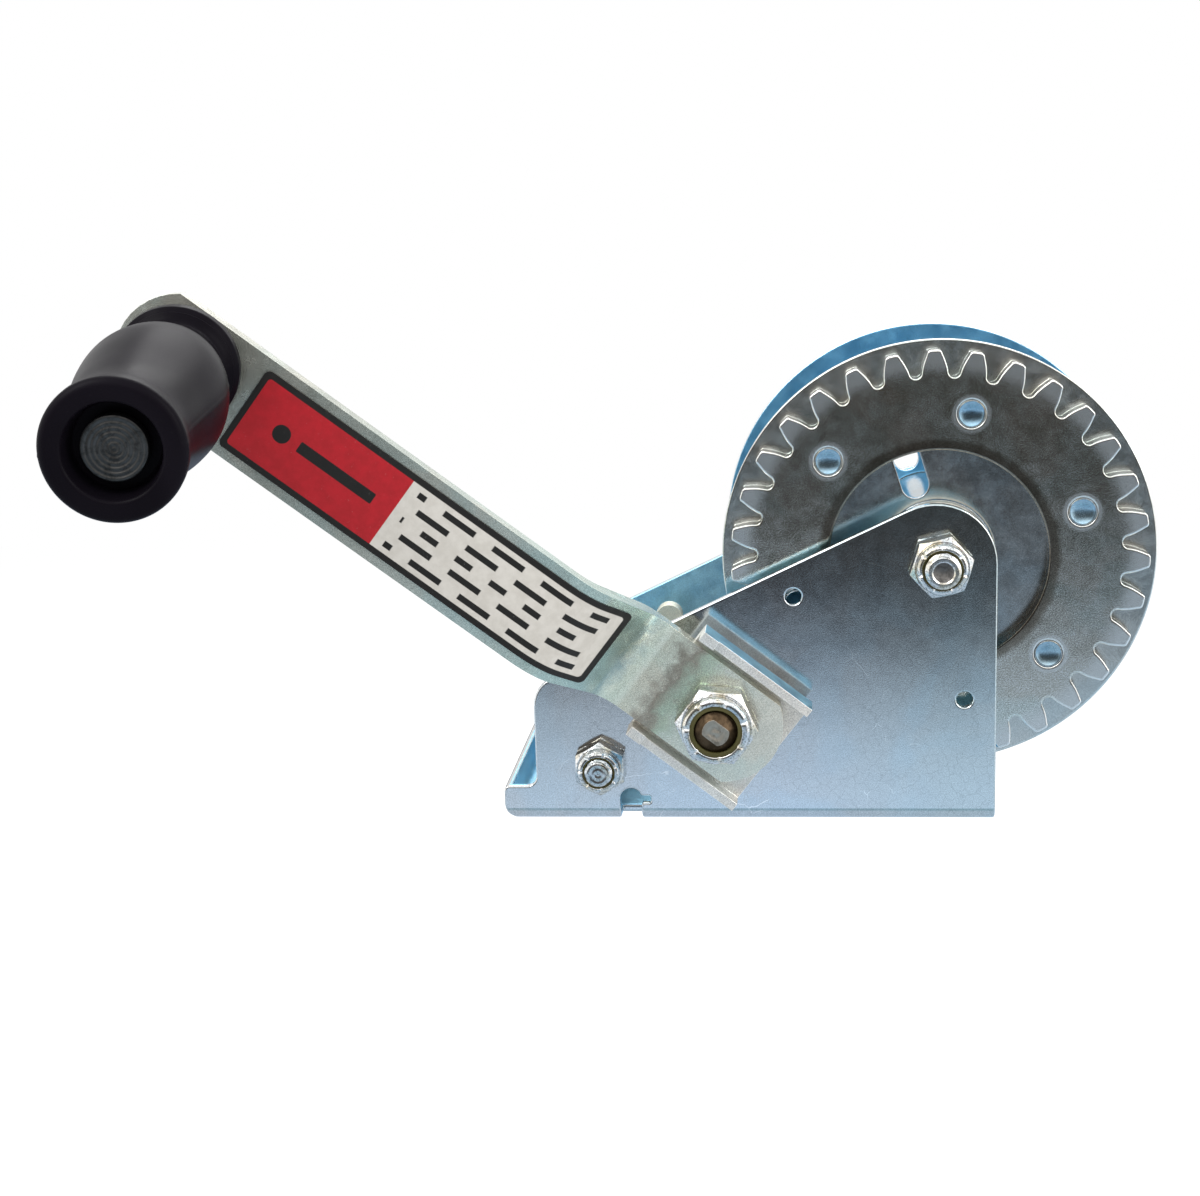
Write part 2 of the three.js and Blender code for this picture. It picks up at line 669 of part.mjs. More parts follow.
/** A lever that turns on the cross bolt: a hub, a nose facing the ratchet and a rounded finger tab. */
function makePawl() {
  const [tabX, tabZ, tabRadius] = [PAWL_X + 17.3, PAWL_Z + 31.4, 4.2];
  const lever = plate(obround(PAWL_X, PAWL_Z, tabX, tabZ, tabRadius), PAWL_FRONT, PAWL_BACK);
  const hub = rod(PAWL_HUB, PAWL_FRONT, PAWL_BACK, PAWL_X, PAWL_Z);
  const nose = plate(pawlNoseOutline(), PAWL_FRONT, PAWL_BACK);
  const bore = rod(SPACER_RADIUS + RUNNING, PAWL_FRONT - 1, PAWL_BACK + 1, PAWL_X, PAWL_Z);
  return lever.add(hub).add(nose).subtract(bore);
}

/** A wire torsion spring around the spacer, one leg on the base and one behind the pawl. */
function makePawlSpring() {
  const wire = 0.8;
  const coilRadius = 7.6;
  const coilFront = 8;
  const coilPitch = 2.1;
  const turns = 3.25;
  const start = -Math.PI / 2;
  const path = [new THREE.Vector3(PAWL_X - 22, coilFront, SHEET + wire + GAP)];
  path.push(new THREE.Vector3(PAWL_X - 10, coilFront, SHEET + wire + 1.2));
  const steps = 40;
  for (let i = 0; i <= steps; i += 1) {
    const angle = start - (2 * Math.PI * turns * i) / steps;
    const y = coilFront + (coilPitch * turns * i) / steps;
    const [x, z] = [PAWL_X + coilRadius * Math.cos(angle), PAWL_Z + coilRadius * Math.sin(angle)];
    path.push(new THREE.Vector3(x, y, z));
  }
  const last = path[path.length - 1];
  path.push(new THREE.Vector3(last.x + 1, last.y + 0.6, last.z + 10));
  path.push(new THREE.Vector3(last.x + 9, last.y + 0.8, last.z + 24));
  const curve = new THREE.CatmullRomCurve3(path, false, 'centripetal');
  const section = new THREE.Shape(arcPoints(0, 0, wire, 0, 2 * Math.PI, 6).slice(0, 6));
  return solidOf(new THREE.ExtrudeGeometry(section, { steps: 56, extrudePath: curve, bevelEnabled: false }));
}

// ---- assembly ----

function addPart(parent, name, solid, look) {
  const mesh = new THREE.Mesh(geometryOf(solid), look);
  mesh.name = name;
  parent.add(mesh);
}

function addFastener(parent, name, solid, look, x, y, z) {
  const holder = new THREE.Group();
  holder.position.set(x, y, z);
  parent.add(holder);
  addPart(holder, name, solid, look);
}

function addLockNut(parent, name, acrossFlats, boltRadius, height, turn, place) {
  addFastener(parent, name, makeLockNut(acrossFlats, boltRadius, height, turn), LOOKS.bolt, ...place);
  const insert = makeNylonRing(acrossFlats, boltRadius, height);
  addFastener(parent, `${name}_insert`, insert, LOOKS.nylon, ...place);
}

const winch = new THREE.Group();
const NUT_SEAT = -PLATE_OUTSIDE - RUNNING;

addPart(winch, 'frame', makeFrame(), LOOKS.sheet);

addPart(winch, 'drum_gear', makeDrumGear(), LOOKS.gear);
const frontFlangeHoles = rivetHoles(GEAR_BACK, GEAR_BACK + FLANGE_SHEET);
const frontFlange = makeFlange(GEAR_BACK + 0.02, GEAR_BACK + FLANGE_SHEET, frontFlangeHoles);
addPart(winch, 'drum_front_flange', frontFlange, LOOKS.drum);
addPart(winch, 'drum_rear_flange', makeFlange(REAR_FLANGE_FRONT, REAR_FLANGE_BACK, []), LOOKS.drum);
const core = tube(BUSH_RADIUS + RUNNING, CORE_RADIUS, GEAR_BACK, REAR_FLANGE_BACK, DRUM_X, DRUM_Z);
addPart(winch, 'drum_core', core, LOOKS.drum);
rivetPlaces().forEach(([x, z], i) => addPart(winch, `gear_rivet_${i + 1}`, makeRivet(x, z), LOOKS.gear));
const bushGap = 0.25;
const frontBush = makeDrumBush(GEAR_BACK + 12, GEAR_BACK - RUNNING, bushGap - PLATE_INSIDE);
addPart(winch, 'drum_bush_front', frontBush, LOOKS.bush);
const rearBush = makeDrumBush(REAR_FLANGE_BACK - 12, REAR_FLANGE_BACK + RUNNING, PLATE_INSIDE - bushGap);
addPart(winch, 'drum_bush_rear', rearBush, LOOKS.bush);
const sleeveEnd = PLATE_INSIDE - RUNNING;
addPart(winch, 'drum_sleeve', tube(5.1, SLEEVE_RADIUS, -sleeveEnd, sleeveEnd, DRUM_X, DRUM_Z), LOOKS.shaft);
addFastener(winch, 'drum_bolt', makeBolt(5, 16, 6.4, -49, true), LOOKS.bolt, DRUM_X, 0, DRUM_Z);
addLockNut(winch, 'drum_nut', 16, 5, 10.2, 0.22, [DRUM_X, NUT_SEAT, DRUM_Z]);

addFastener(winch, 'cross_bolt', makeBolt(4, 14, 5.3, -46, false), LOOKS.bolt, PAWL_X, 0, PAWL_Z);
addLockNut(winch, 'cross_nut', 14, 4, 8.6, Math.PI / 2, [PAWL_X, NUT_SEAT, PAWL_Z]);
addPart(winch, 'cross_spacer', tube(4.1, SPACER_RADIUS, -sleeveEnd, sleeveEnd, PAWL_X, PAWL_Z), LOOKS.shaft);
addPart(winch, 'pawl', makePawl(), LOOKS.pawl);
addPart(winch, 'pawl_spring', makePawlSpring(), LOOKS.spring);

const bushFlange = 1.8;
const bushProfile = (side) => [
  [JOURNAL_RADIUS + RUNNING, side * PLATE_OUTSIDE],
  [9, side * PLATE_OUTSIDE],
  [9, side * (PLATE_INSIDE - RUNNING)],
  [12, side * (PLATE_INSIDE - RUNNING)],
  [12, side * (PLATE_INSIDE - bushFlange)],
  [JOURNAL_RADIUS + RUNNING, side * (PLATE_INSIDE - bushFlange)],
];
addPart(winch, 'shaft_bush_front', turned(bushProfile(-1), DRIVE_X, DRIVE_Z), LOOKS.bush);
addPart(winch, 'shaft_bush_rear', turned(bushProfile(1), DRIVE_X, DRIVE_Z), LOOKS.bush);

const crank = new THREE.Group();
crank.position.set(DRIVE_X, 0, DRIVE_Z);
crank.rotation.y = -CRANK_ANGLE;
winch.add(crank);
addPart(crank, 'drive_shaft', makeDriveShaft(), LOOKS.shaft);
addPart(crank, 'pinion_gear', makePinion(), LOOKS.shaft);
addPart(crank, 'ratchet_wheel', makeRatchet(), LOOKS.shaft);
const spacerFront = WEB_BACK + RUNNING;
const shaftSpacer = tube(JOURNAL_RADIUS + RUNNING, 11, spacerFront, -PLATE_OUTSIDE - GAP);
addPart(crank, 'shaft_spacer', shaftSpacer, LOOKS.bolt);
addPart(crank, 'retaining_ring', tube(6, 10, 37.3, 38.3), LOOKS.spring);
addPart(crank, 'handle_bracket', makeBracket(), LOOKS.arm);
addPart(crank, 'crank_arm', makeArm(), LOOKS.arm);
addPart(crank, 'arm_label', makeLabel(), LOOKS.label);
const crankNutPlace = [0, CRANK_NUT_SEAT, 0];
addLockNut(crank, 'crank_nut', CRANK_NUT.acrossFlats, THREAD_RADIUS, CRANK_NUT.height, 0.55, crankNutPlace);

const middle = armMiddle();
const [bendEnd, armEnd] = [middle[middle.length - 2], middle[middle.length - 1]];
const along = (CRANK_RADIUS - bendEnd.x) / (armEnd.x - bendEnd.x);
const armFaceAtPin = bendEnd.y + (armEnd.y - bendEnd.y) * along - ARM_THICKNESS / 2;
const grip = new THREE.Group();
grip.position.set(CRANK_RADIUS, armFaceAtPin, 0);
grip.rotation.z = -GRIP_TILT;
crank.add(grip);
addPart(grip, 'grip_pin', makeGripPin(), LOOKS.bolt);
addPart(grip, 'grip', makeGrip(), LOOKS.grip);

export default winch;
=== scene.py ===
"""Looks of a boat trailer hand winch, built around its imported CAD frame.

Shapes are drawn in millimetres in the part's own frame (+Z up, crank on the -Y side) and scaled to metres
once, when a piece is made. Places come from the CAD nodes and the joints.
"""

import json
import math

import bmesh
import bpy
import numpy as np
from mathutils import Matrix, Vector
from mathutils.bvhtree import BVHTree


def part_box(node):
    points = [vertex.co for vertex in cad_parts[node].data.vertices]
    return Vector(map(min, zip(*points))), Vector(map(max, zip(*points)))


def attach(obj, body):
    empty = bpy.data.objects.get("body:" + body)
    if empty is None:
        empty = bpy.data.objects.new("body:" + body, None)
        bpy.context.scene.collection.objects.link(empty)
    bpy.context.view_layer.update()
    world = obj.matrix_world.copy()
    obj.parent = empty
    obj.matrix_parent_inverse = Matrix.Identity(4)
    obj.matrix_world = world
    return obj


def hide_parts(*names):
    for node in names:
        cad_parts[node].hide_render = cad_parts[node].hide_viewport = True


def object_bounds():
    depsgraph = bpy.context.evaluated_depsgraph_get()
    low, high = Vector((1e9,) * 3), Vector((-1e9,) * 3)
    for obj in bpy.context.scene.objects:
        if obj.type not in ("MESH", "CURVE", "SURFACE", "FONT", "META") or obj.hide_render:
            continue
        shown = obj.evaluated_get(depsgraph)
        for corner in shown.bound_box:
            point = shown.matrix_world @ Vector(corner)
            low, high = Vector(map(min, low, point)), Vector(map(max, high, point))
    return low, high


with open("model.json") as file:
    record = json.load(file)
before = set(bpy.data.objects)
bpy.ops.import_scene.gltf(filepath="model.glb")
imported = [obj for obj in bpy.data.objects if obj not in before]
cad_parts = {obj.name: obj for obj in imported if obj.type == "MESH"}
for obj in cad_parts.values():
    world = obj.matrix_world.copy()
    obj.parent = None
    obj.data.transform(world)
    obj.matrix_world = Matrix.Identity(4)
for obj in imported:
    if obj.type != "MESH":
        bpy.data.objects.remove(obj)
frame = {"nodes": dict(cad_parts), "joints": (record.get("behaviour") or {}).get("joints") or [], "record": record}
cad_low, cad_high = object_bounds()

MM = 0.001
IDENTITY = Matrix.Identity(4)
BODY_OF = {node: body for body, nodes in frame["record"]["behaviour"]["bodies"].items() for node in nodes}
JOINTS = {joint["name"]: joint for joint in frame["joints"]}


# ---- places, in millimetres ----

def joint_point(name):
    return Vector(JOINTS[name]["pos_m"]) / MM


DRUM = joint_point("drum_spin")
DRIVE = joint_point("crank_spin")
PAWL = joint_point("pawl_pivot")
GRIP = joint_point("grip_spin")
CRANK_ANGLE = math.atan2(GRIP.z - DRIVE.z, GRIP.x - DRIVE.x)

# The drive frame has its X along the crank arm; the grip frame has its Y along the grip's own axis.
DRIVE_PLACE = Matrix.Translation(DRIVE) @ Matrix.Rotation(-CRANK_ANGLE, 4, "Y")
grip_y = Vector(JOINTS["grip_spin"]["axis"]).normalized()
grip_z = DRIVE_PLACE.to_3x3() @ Vector((0, 0, 1))
GRIP_PLACE = Matrix.Translation(GRIP) @ Matrix((grip_y.cross(grip_z), grip_y, grip_z)).transposed().to_4x4()


def node_points(node, place=IDENTITY):
    """A CAD node's corners as an array, in the given frame."""
    into = np.array(place.inverted())
    points = np.array([v.co for v in frame["nodes"][node].data.vertices]) / MM
    return points @ into[:3, :3].T + into[:3, 3]


def node_span(node, place=IDENTITY):
    """(lowest y, highest y, smallest radius, largest radius) of a CAD node about its frame's Y axis."""
    points = node_points(node, place)
    radii = np.hypot(points[:, 0], points[:, 2])
    return points[:, 1].min(), points[:, 1].max(), radii.min(), radii.max()


def corner_angle(node, place):
    """The direction of a hexagon's corner about its frame's Y axis."""
    points = node_points(node, place)
    farthest = points[np.argmax(np.hypot(points[:, 0], points[:, 2]))]
    return math.atan2(farthest[2], farthest[0])


# ---- shapes ----

def arc(centre, radius, start, end, steps):
    angles = np.linspace(start, end, steps + 1)
    return [(centre[0] + radius * math.cos(a), centre[1] + radius * math.sin(a)) for a in angles]


def rounded(corners, steps=5, closed=True):
    """Corner points (a, b[, radius]) joined by straight lines, each corner rounded by its own radius."""
    points = []
    count = len(corners)
    for i, corner in enumerate(corners):
        here = Vector(corner[:2])
        radius = corner[2] if len(corner) > 2 else 0
        if radius == 0 or (not closed and i in (0, count - 1)):
            points.append(tuple(here))
            continue
        inward = (Vector(corners[i - 1][:2]) - here).normalized()
        onward = (Vector(corners[(i + 1) % count][:2]) - here).normalized()
        half = math.acos(max(-1, min(1, inward.dot(onward)))) / 2
        centre = here + (inward + onward).normalized() * radius / math.sin(half)
        start = here + inward * radius / math.tan(half) - centre
        end = here + onward * radius / math.tan(half) - centre
        first = math.atan2(start.y, start.x)
        sweep = (math.atan2(end.y, end.x) - first + math.pi) % (2 * math.pi) - math.pi
        points += arc(centre, radius, first, first + sweep, steps)
    return points


def circle(x, z, radius, steps=64):
    return arc((x, z), radius, 0, 2 * math.pi, steps)[:-1]


def obround(x1, z1, x2, z2, radius, steps=16):
    along = math.atan2(z2 - z1, x2 - x1)
    near = arc((x1, z1), radius, along + math.pi / 2, along + math.pi * 1.5, steps)
    far = arc((x2, z2), radius, along - math.pi / 2, along + math.pi / 2, steps)
    return near + far


def curve_shape(curve):
    """The closed mesh that a curve with a thickness makes."""
    holder = bpy.data.objects.new(curve.name, curve)
    bpy.context.scene.collection.objects.link(holder)
    mesh = bpy.data.meshes.new_from_object(holder.evaluated_get(bpy.context.evaluated_depsgraph_get()))
    shape = bmesh.new()
    shape.from_mesh(mesh)
    bpy.data.objects.remove(holder)
    bpy.data.meshes.remove(mesh)
    return shape


# How a punched edge rolls over, from the flat face to the cut side: (drop, way outwards), both from 0 to 1.
ROLLED_EDGE = ((0.03, 0.4), (0.1, 0.72), (0.24, 0.92))


def plate(outlines, low, high, edge):
    """A punched sheet from low to high along Y; the first outline is outside, the rest are holes."""
    curve = bpy.data.curves.new("outline", "CURVE")
    curve.dimensions = "2D"
    curve.fill_mode = "BOTH"
    curve.extrude = (high - low) / 2 - edge
    curve.bevel_depth = edge
    curve.bevel_resolution = 6
    curve.bevel_mode = "PROFILE"
    for drop, way in ROLLED_EDGE:
        curve.bevel_profile.points.add(1 - drop, way)
    curve.bevel_profile.update()
    curve.offset = -edge
    for outline in outlines:
        spline = curve.splines.new("POLY")
        spline.points.add(len(outline) - 1)
        for target, (x, z) in zip(spline.points, outline):
            target.co = (x, z, 0, 1)
        spline.use_cyclic_u = True
    shape = curve_shape(curve)
    upright = Matrix.Rotation(math.pi / 2, 4, "X")
    shape.transform(Matrix.Translation((0, (low + high) / 2, 0)) @ upright)
    return shape


def lathe(profile, steps=96, start=0.0, warp=None):
    """Turns (radius, y) points about Y; a profile off the axis closes on itself. warp shapes each point."""
    shape = bmesh.new()
    angles = [start + 2 * math.pi * i / steps for i in range(steps)]
    rings = []
    for radius, y in profile:
        ring = []
        for angle in angles:
            r, h = warp(radius, y, angle) if warp else (radius, y)
            ring.append(shape.verts.new((r * math.cos(angle), h, r * math.sin(angle))))
        rings.append(ring)
    closed = profile[0][0] > 0
    for i in range(len(rings) if closed else len(rings) - 1):
        inner, outer = rings[i], rings[(i + 1) % len(rings)]
        for j in range(steps):
            k = (j + 1) % steps
            shape.faces.new((inner[j], inner[k], outer[k], outer[j]))
    return shape


# Corners nearer than WELD millimetres are one, and faces within FLAT_WITHIN degrees are one flat face.
WELD = 2e-4
FLAT_WITHIN = 0.6


def cad_shape(node, edge, sharp=24.0, clamp=True):
    """A CAD node's own solid with its flat faces whole again and the edges over sharp degrees rounded."""
    shape = bmesh.new()
    shape.from_mesh(frame["nodes"][node].data)
    shape.transform(Matrix.Scale(1 / MM, 4))
    bmesh.ops.remove_doubles(shape, verts=shape.verts, dist=1e-3)
    bmesh.ops.dissolve_limit(
        shape, angle_limit=math.radians(FLAT_WITHIN), verts=shape.verts, edges=shape.edges,
        delimit={"NORMAL"},
    )
    corners = [e for e in shape.edges if e.is_manifold and e.calc_face_angle() > math.radians(sharp)]
    bmesh.ops.bevel(
        shape, geom=corners, offset=edge, offset_type="OFFSET", segments=3, profile=0.5,
        affect="EDGES", clamp_overlap=clamp,
    )
    return shape


def add_piece(node, shape, material, place=IDENTITY, sharp=32.0):
    """Makes the piece that stands for a CAD node, and lets it ride on that node's body."""
    bmesh.ops.remove_doubles(shape, verts=shape.verts, dist=WELD)
    bmesh.ops.recalc_face_normals(shape, faces=shape.faces)
    if shape.calc_volume(signed=True) < 0:
        bmesh.ops.reverse_faces(shape, faces=shape.faces)
    shape.transform(Matrix.Scale(MM, 4) @ place)
    mesh = bpy.data.meshes.new(f"{node}_fine")
    shape.to_mesh(mesh)
    shape.free()
    mesh.shade_smooth()
    mesh.set_sharp_from_angle(angle=math.radians(sharp))
    mesh.materials.append(material)
    piece = bpy.data.objects.new(f"{node}_fine", mesh)
    bpy.context.scene.collection.objects.link(piece)
    normals = piece.modifiers.new("face_normals", "WEIGHTED_NORMAL")
    normals.keep_sharp = True
    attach(piece, BODY_OF[node])
    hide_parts(node)
    return piece


# ---- material tools ----

class Graph:
    """A short way to write a node tree: each call adds a node and returns its output."""

    def __init__(self, tree):
        self.tree = tree
        self.tree.nodes.clear()

    def add(self, kind, inputs, output=0, **settings):
        made = self.tree.nodes.new(kind)
        for key, value in settings.items():
            setattr(made, key, value)
        for key, value in inputs.items():
            if isinstance(value, bpy.types.NodeSocket):
                self.tree.links.new(value, made.inputs[key])
            else:
                made.inputs[key].default_value = value
        return made.outputs[output]

    def math(self, operation, a, b=0.0):
        return self.add("ShaderNodeMath", {0: a, 1: b}, operation=operation)

    def vector(self, operation, a, b=(0, 0, 0), output=0):
        return self.add("ShaderNodeVectorMath", {0: a, 1: b}, output, operation=operation)

    def place(self):
        return self.add("ShaderNodeTexCoord", {}, "Object")

    def noise(self, size, detail=2.0, rough=0.5, warp=0.0):
        """Cloudy values from 0 to 1 whose features are about size millimetres across."""
        return self.add("ShaderNodeTexNoise", {
            "Vector": self.place(), "Scale": 1 / (size * MM),
            "Detail": detail, "Roughness": rough, "Distortion": warp,
        }, "Fac")

    def spread(self, value, low, high, to_low=0.0, to_high=1.0):
        return self.add("ShaderNodeMapRange", {
            "Value": value, "From Min": low, "From Max": high, "To Min": to_low, "To Max": to_high,
        }, interpolation_type="SMOOTHSTEP")

    def mix(self, factor, a, b, blend="MIX"):
        colours = [c if isinstance(c, bpy.types.NodeSocket) else (*c, 1) for c in (a, b)]
        return self.add("ShaderNodeMix", {0: factor, 6: colours[0], 7: colours[1]}, 2,
                        data_type="RGBA", blend_type=blend)

    def ramp(self, value, stops):
        made = self.tree.nodes.new("ShaderNodeValToRGB")
        self.tree.links.new(value, made.inputs[0])
        elements = made.color_ramp.elements
        elements.remove(elements[1])
        elements[0].position, elements[0].color = stops[0][0], (*stops[0][1], 1)
        for position, colour in stops[1:]:
            elements.new(position).color = (*colour, 1)
        return made.outputs[0]

    def bump(self, height, strength, distance, normal=None):
        inputs = {"Height": height, "Strength": strength, "Distance": distance * MM}
        if normal:
            inputs["Normal"] = normal
        return self.add("ShaderNodeBump", inputs)

    def from_axis(self, centre, axis=(0, 1, 0)):
        """Distance in metres from a line through centre (millimetres) along axis."""
        away = self.vector("SUBTRACT", self.place(), tuple(c * MM for c in centre))
        off = self.vector("CROSS_PRODUCT", away, axis)
        return self.vector("LENGTH", off, output="Value")

    def surface(self, **inputs):
        shader = self.tree.nodes.new("ShaderNodeBsdfPrincipled")
        for key, value in inputs.items():
            socket = shader.inputs[key.replace("_", " ").title().replace("Ior", "IOR")]
            if isinstance(value, bpy.types.NodeSocket):
                self.tree.links.new(value, socket)
            elif isinstance(value, tuple):
                socket.default_value = (*value, 1)
            else:
                socket.default_value = value
        output = self.tree.nodes.new("ShaderNodeOutputMaterial")
        self.tree.links.new(shader.outputs[0], output.inputs[0])


def new_material(name):
    material = bpy.data.materials.new(name)
    material.use_nodes = True
    return material, Graph(material.node_tree)


# ---- materials ----

def plated(name, light, dark, warm, cool, rough=0.12, grain=1.0, metallic=1.0,
           crackle=0.0, tints=None, wander=14, polish=None, halos=()):
    """Zinc plating: fine crystal grain, soft warm and cool clouds and stains.

    crackle is how dark the fine cracks of the passivation are, and it adds a few bright hairline scratches.
    tints is (origin, direction, stops): colours multiplied in at distances in millimetres along a line,
    or outwards from the origin's own Y axis if there is no direction.
    polish is (centre, start, end, colour, rough): a ring rubbed bright from one radius to the next.
    halos are places whose surroundings are rubbed in the same way.
    """
    material, g = new_material(name)
    clouds = g.noise(24, 3, 0.5, 0.6)
    stains = g.noise(5, 4, 0.6, 0.4)
    speckle = g.noise(0.34, 3, 0.75)
    base = g.mix(g.spread(stains, 0.3, 0.7), dark, light)
    base = g.mix(g.spread(clouds, 0.4, 0.6, 0.0, 0.8), base, warm, "MULTIPLY")
    base = g.mix(g.spread(clouds, 0.6, 0.4, 0.0, 0.8), base, cool, "MULTIPLY")
    shade = g.spread(speckle, 0.32, 0.7, 1 - 0.5 * grain, 1 + 0.26 * grain)
    base = g.add("ShaderNodeVectorMath", {0: base, "Scale": shade}, operation="SCALE")
    if crackle:
        sway = g.add("ShaderNodeTexNoise", {"Vector": g.place(), "Scale": 1 / (3 * MM)}, "Color")
        bent = g.vector("MULTIPLY_ADD", sway, (2 * MM, 2 * MM, 2 * MM))
        g.tree.links.new(g.place(), bent.node.inputs[2])
        cells = g.add("ShaderNodeTexVoronoi", {"Vector": bent, "Scale": 1 / (3 * MM)}, "Distance",
                      feature="DISTANCE_TO_EDGE")
        lines = g.math("MULTIPLY", g.spread(cells, 0.05, 0.0), g.spread(clouds, 0.4, 0.6, 0.2, 1.0))
        base = g.mix(g.math("MULTIPLY", lines, crackle), base, (0.1, 0.1, 0.1))
        cuts = g.add("ShaderNodeTexVoronoi", {"Vector": bent, "Scale": 1 / (16 * MM)}, "Distance",
                     feature="DISTANCE_TO_EDGE")
        kept = g.spread(g.noise(11, 2, 0.6), 0.56, 0.64)
        base = g.mix(g.math("MULTIPLY", g.spread(cuts, 0.007, 0.002), kept), base, (1.0, 1.0, 1.0))
    if tints:
        origin, direction, stops = tints
        if direction:
            away = g.vector("SUBTRACT", g.place(), tuple(c * MM for c in origin))
            along = g.vector("DOT_PRODUCT", away, direction, output="Value")
        else:
            along = g.from_axis(origin)
        along = g.math("ADD", along, g.math("MULTIPLY", g.math("SUBTRACT", stains, 0.5), wander * MM))
        first, last = stops[0][0], stops[-1][0]
        share = g.add("ShaderNodeMapRange", {"Value": along, "From Min": first * MM, "From Max": last * MM})
        colours = g.ramp(share, [((at - first) / (last - first), colour) for at, colour in stops])
        base = g.mix(1.0, base, colours, "MULTIPLY")
    roughness = g.spread(stains, 0.2, 0.8, rough * 0.8, rough * 1.3)
    roughness = g.math("ADD", roughness, g.math("MULTIPLY", speckle, 0.06))
    if polish:
        centre, inner, outer, colour, shine_rough = polish
        shine = g.spread(g.from_axis(centre), inner * MM, outer * MM)
        for x, z in halos:
            near = g.spread(g.from_axis((x, 0, z)), 6.2 * MM, 5.0 * MM, 0.0, 0.7)
            shine = g.math("MAXIMUM", shine, near)
        base = g.mix(shine, base, colour)
        roughness = g.spread(shine, 0.0, 1.0, roughness, shine_rough)
    fine = g.bump(speckle, 0.8 * grain, 0.02)
    normal = g.bump(g.noise(16, 1, 0.4), 0.05, 0.5, fine)
    g.surface(base_color=base, metallic=metallic, roughness=roughness, normal=normal)
    return material


def bright_zinc(name, tint=(0.86, 0.87, 0.87), rough=0.14):
    """Bright plating of nuts and bolts: smooth, with faint tumbling marks and a blue and straw tint."""
    material, g = new_material(name)
    clouds = g.noise(6, 3, 0.6, 0.5)
    marks = g.noise(0.6, 4, 0.8)
    base = g.ramp(clouds, [
        (0.3, (0.62, 0.7, 0.74)), (0.48, tint), (0.62, (0.82, 0.76, 0.62)), (0.75, (0.5, 0.5, 0.46)),
    ])
    base = g.mix(g.spread(marks, 0.48, 0.66, 0.0, 0.85), base, (0.12, 0.12, 0.11))
    roughness = g.math("ADD", rough, g.math("MULTIPLY", marks, 0.18))
    g.surface(base_color=base, metallic=1.0, roughness=roughness, normal=g.bump(marks, 0.18, 0.05))
    return material


def turned_steel(name, colour, centre, ring=0.35, rough=0.3, axis=(0, 1, 0)):
    """Machined steel with fine turning rings about an axis, darkened by oil."""
    material, g = new_material(name)
    distance = g.from_axis(centre, axis)
    rings = g.math("SINE", g.math("MULTIPLY", distance, 2 * math.pi / (ring * MM)))
    grime = g.noise(2.5, 5, 0.7, 0.3)
    dark = tuple(c * 0.35 for c in colour)
    base = g.mix(g.spread(grime, 0.42, 0.7, 0.0, 0.8), colour, dark)
    height = g.math("ADD", g.math("MULTIPLY", rings, 0.5), g.noise(0.5, 3, 0.7))
    g.surface(base_color=base, metallic=1.0, roughness=g.spread(grime, 0.3, 0.7, rough, rough + 0.25),
              normal=g.bump(height, 0.25, 0.04))
    return material


def moulded(name, colour, rough, fleck, texture=0.4, specular=0.35):
    """Moulded plastic: a fine matt texture with soft variation and a few scuffs."""
    material, g = new_material(name)
    grain = g.noise(0.35, 2, 0.6)
    flow = g.noise(30, 2, 0.5, 0.8)
    scuffs = g.spread(g.noise(1.6, 5, 0.8, 0.6), 0.62, 0.74)
    base = g.mix(g.spread(flow, 0.3, 0.7), colour, fleck)
    base = g.mix(g.math("MULTIPLY", scuffs, 0.12), base, tuple(min(1, c * 2 + 0.04) for c in colour))
    roughness = g.spread(flow, 0.3, 0.7, rough * 0.9, rough * 1.15)
    roughness = g.math("ADD", roughness, g.math("MULTIPLY", scuffs, 0.1))
    g.surface(base_color=base, roughness=roughness, specular_ior_level=specular,
              normal=g.bump(grain, texture * 0.3, 0.03))
    return material


# The ring gear's six rivets, in a circle about the drum.
RIVETS = [f"gear_rivet_{i + 1}" for i in range(6)]


def middle_of(node):
    low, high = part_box(node)
    middle = (low + high) / 2 / MM
    return middle.x, middle.z


FRAME_ZINC = plated(
    "frame_zinc", (0.8, 0.83, 0.87), (0.74, 0.77, 0.81), (0.98, 0.96, 0.93), (0.94, 0.99, 1.0),
    rough=0.07, grain=0.45, crackle=0.16,
    tints=((0, 0, 40), (1, 0, 0), [
        (-60, (1.0, 0.97, 0.93)), (10, (1.0, 1.0, 1.0)), (60, (0.93, 1.0, 0.98)),
    ]),
)
# Painted shade: a darker, bluer zinc for faces in shade between the frame's plates, and for the bracket walls that
# the front plate mirrors.
PAINTED_SHADE_ZINC = plated(
    "painted_shade_zinc", (0.42, 0.72, 0.88), (0.36, 0.64, 0.82), (0.97, 0.98, 0.97), (0.9, 0.97, 1.0),
    rough=0.4, grain=0.3,
)
# Painted shade: a saturated blue for the rear flange's face toward the drum, in shade between the flanges.
PAINTED_FLANGE_SHADE = plated(
    "painted_flange_shade", (0.24, 0.58, 0.86), (0.19, 0.5, 0.78), (0.97, 0.98, 0.97), (0.9, 0.97, 1.0),
    rough=0.36, grain=0.3,
)
GEAR_ZINC = plated(
    "gear_zinc", (1.0, 1.0, 0.95), (0.88, 0.88, 0.82), (0.98, 0.95, 0.9), (0.92, 0.99, 0.97),
    rough=0.12, grain=0.9,
    # Painted shade: dark brown from 31 to 35 mm, where the gear's inner edge rolls over.
    tints=(DRUM, None, [
        (31.0, (0.34, 0.3, 0.27)), (33.5, (0.5, 0.46, 0.42)), (35.0, (1, 1, 1)), (60.0, (1, 1, 1)),
    ]), wander=1.5,
    polish=(DRUM, 50.0, 57.0, (1.0, 1.0, 0.97), 0.26),
    halos=[middle_of(node) for node in RIVETS],
)
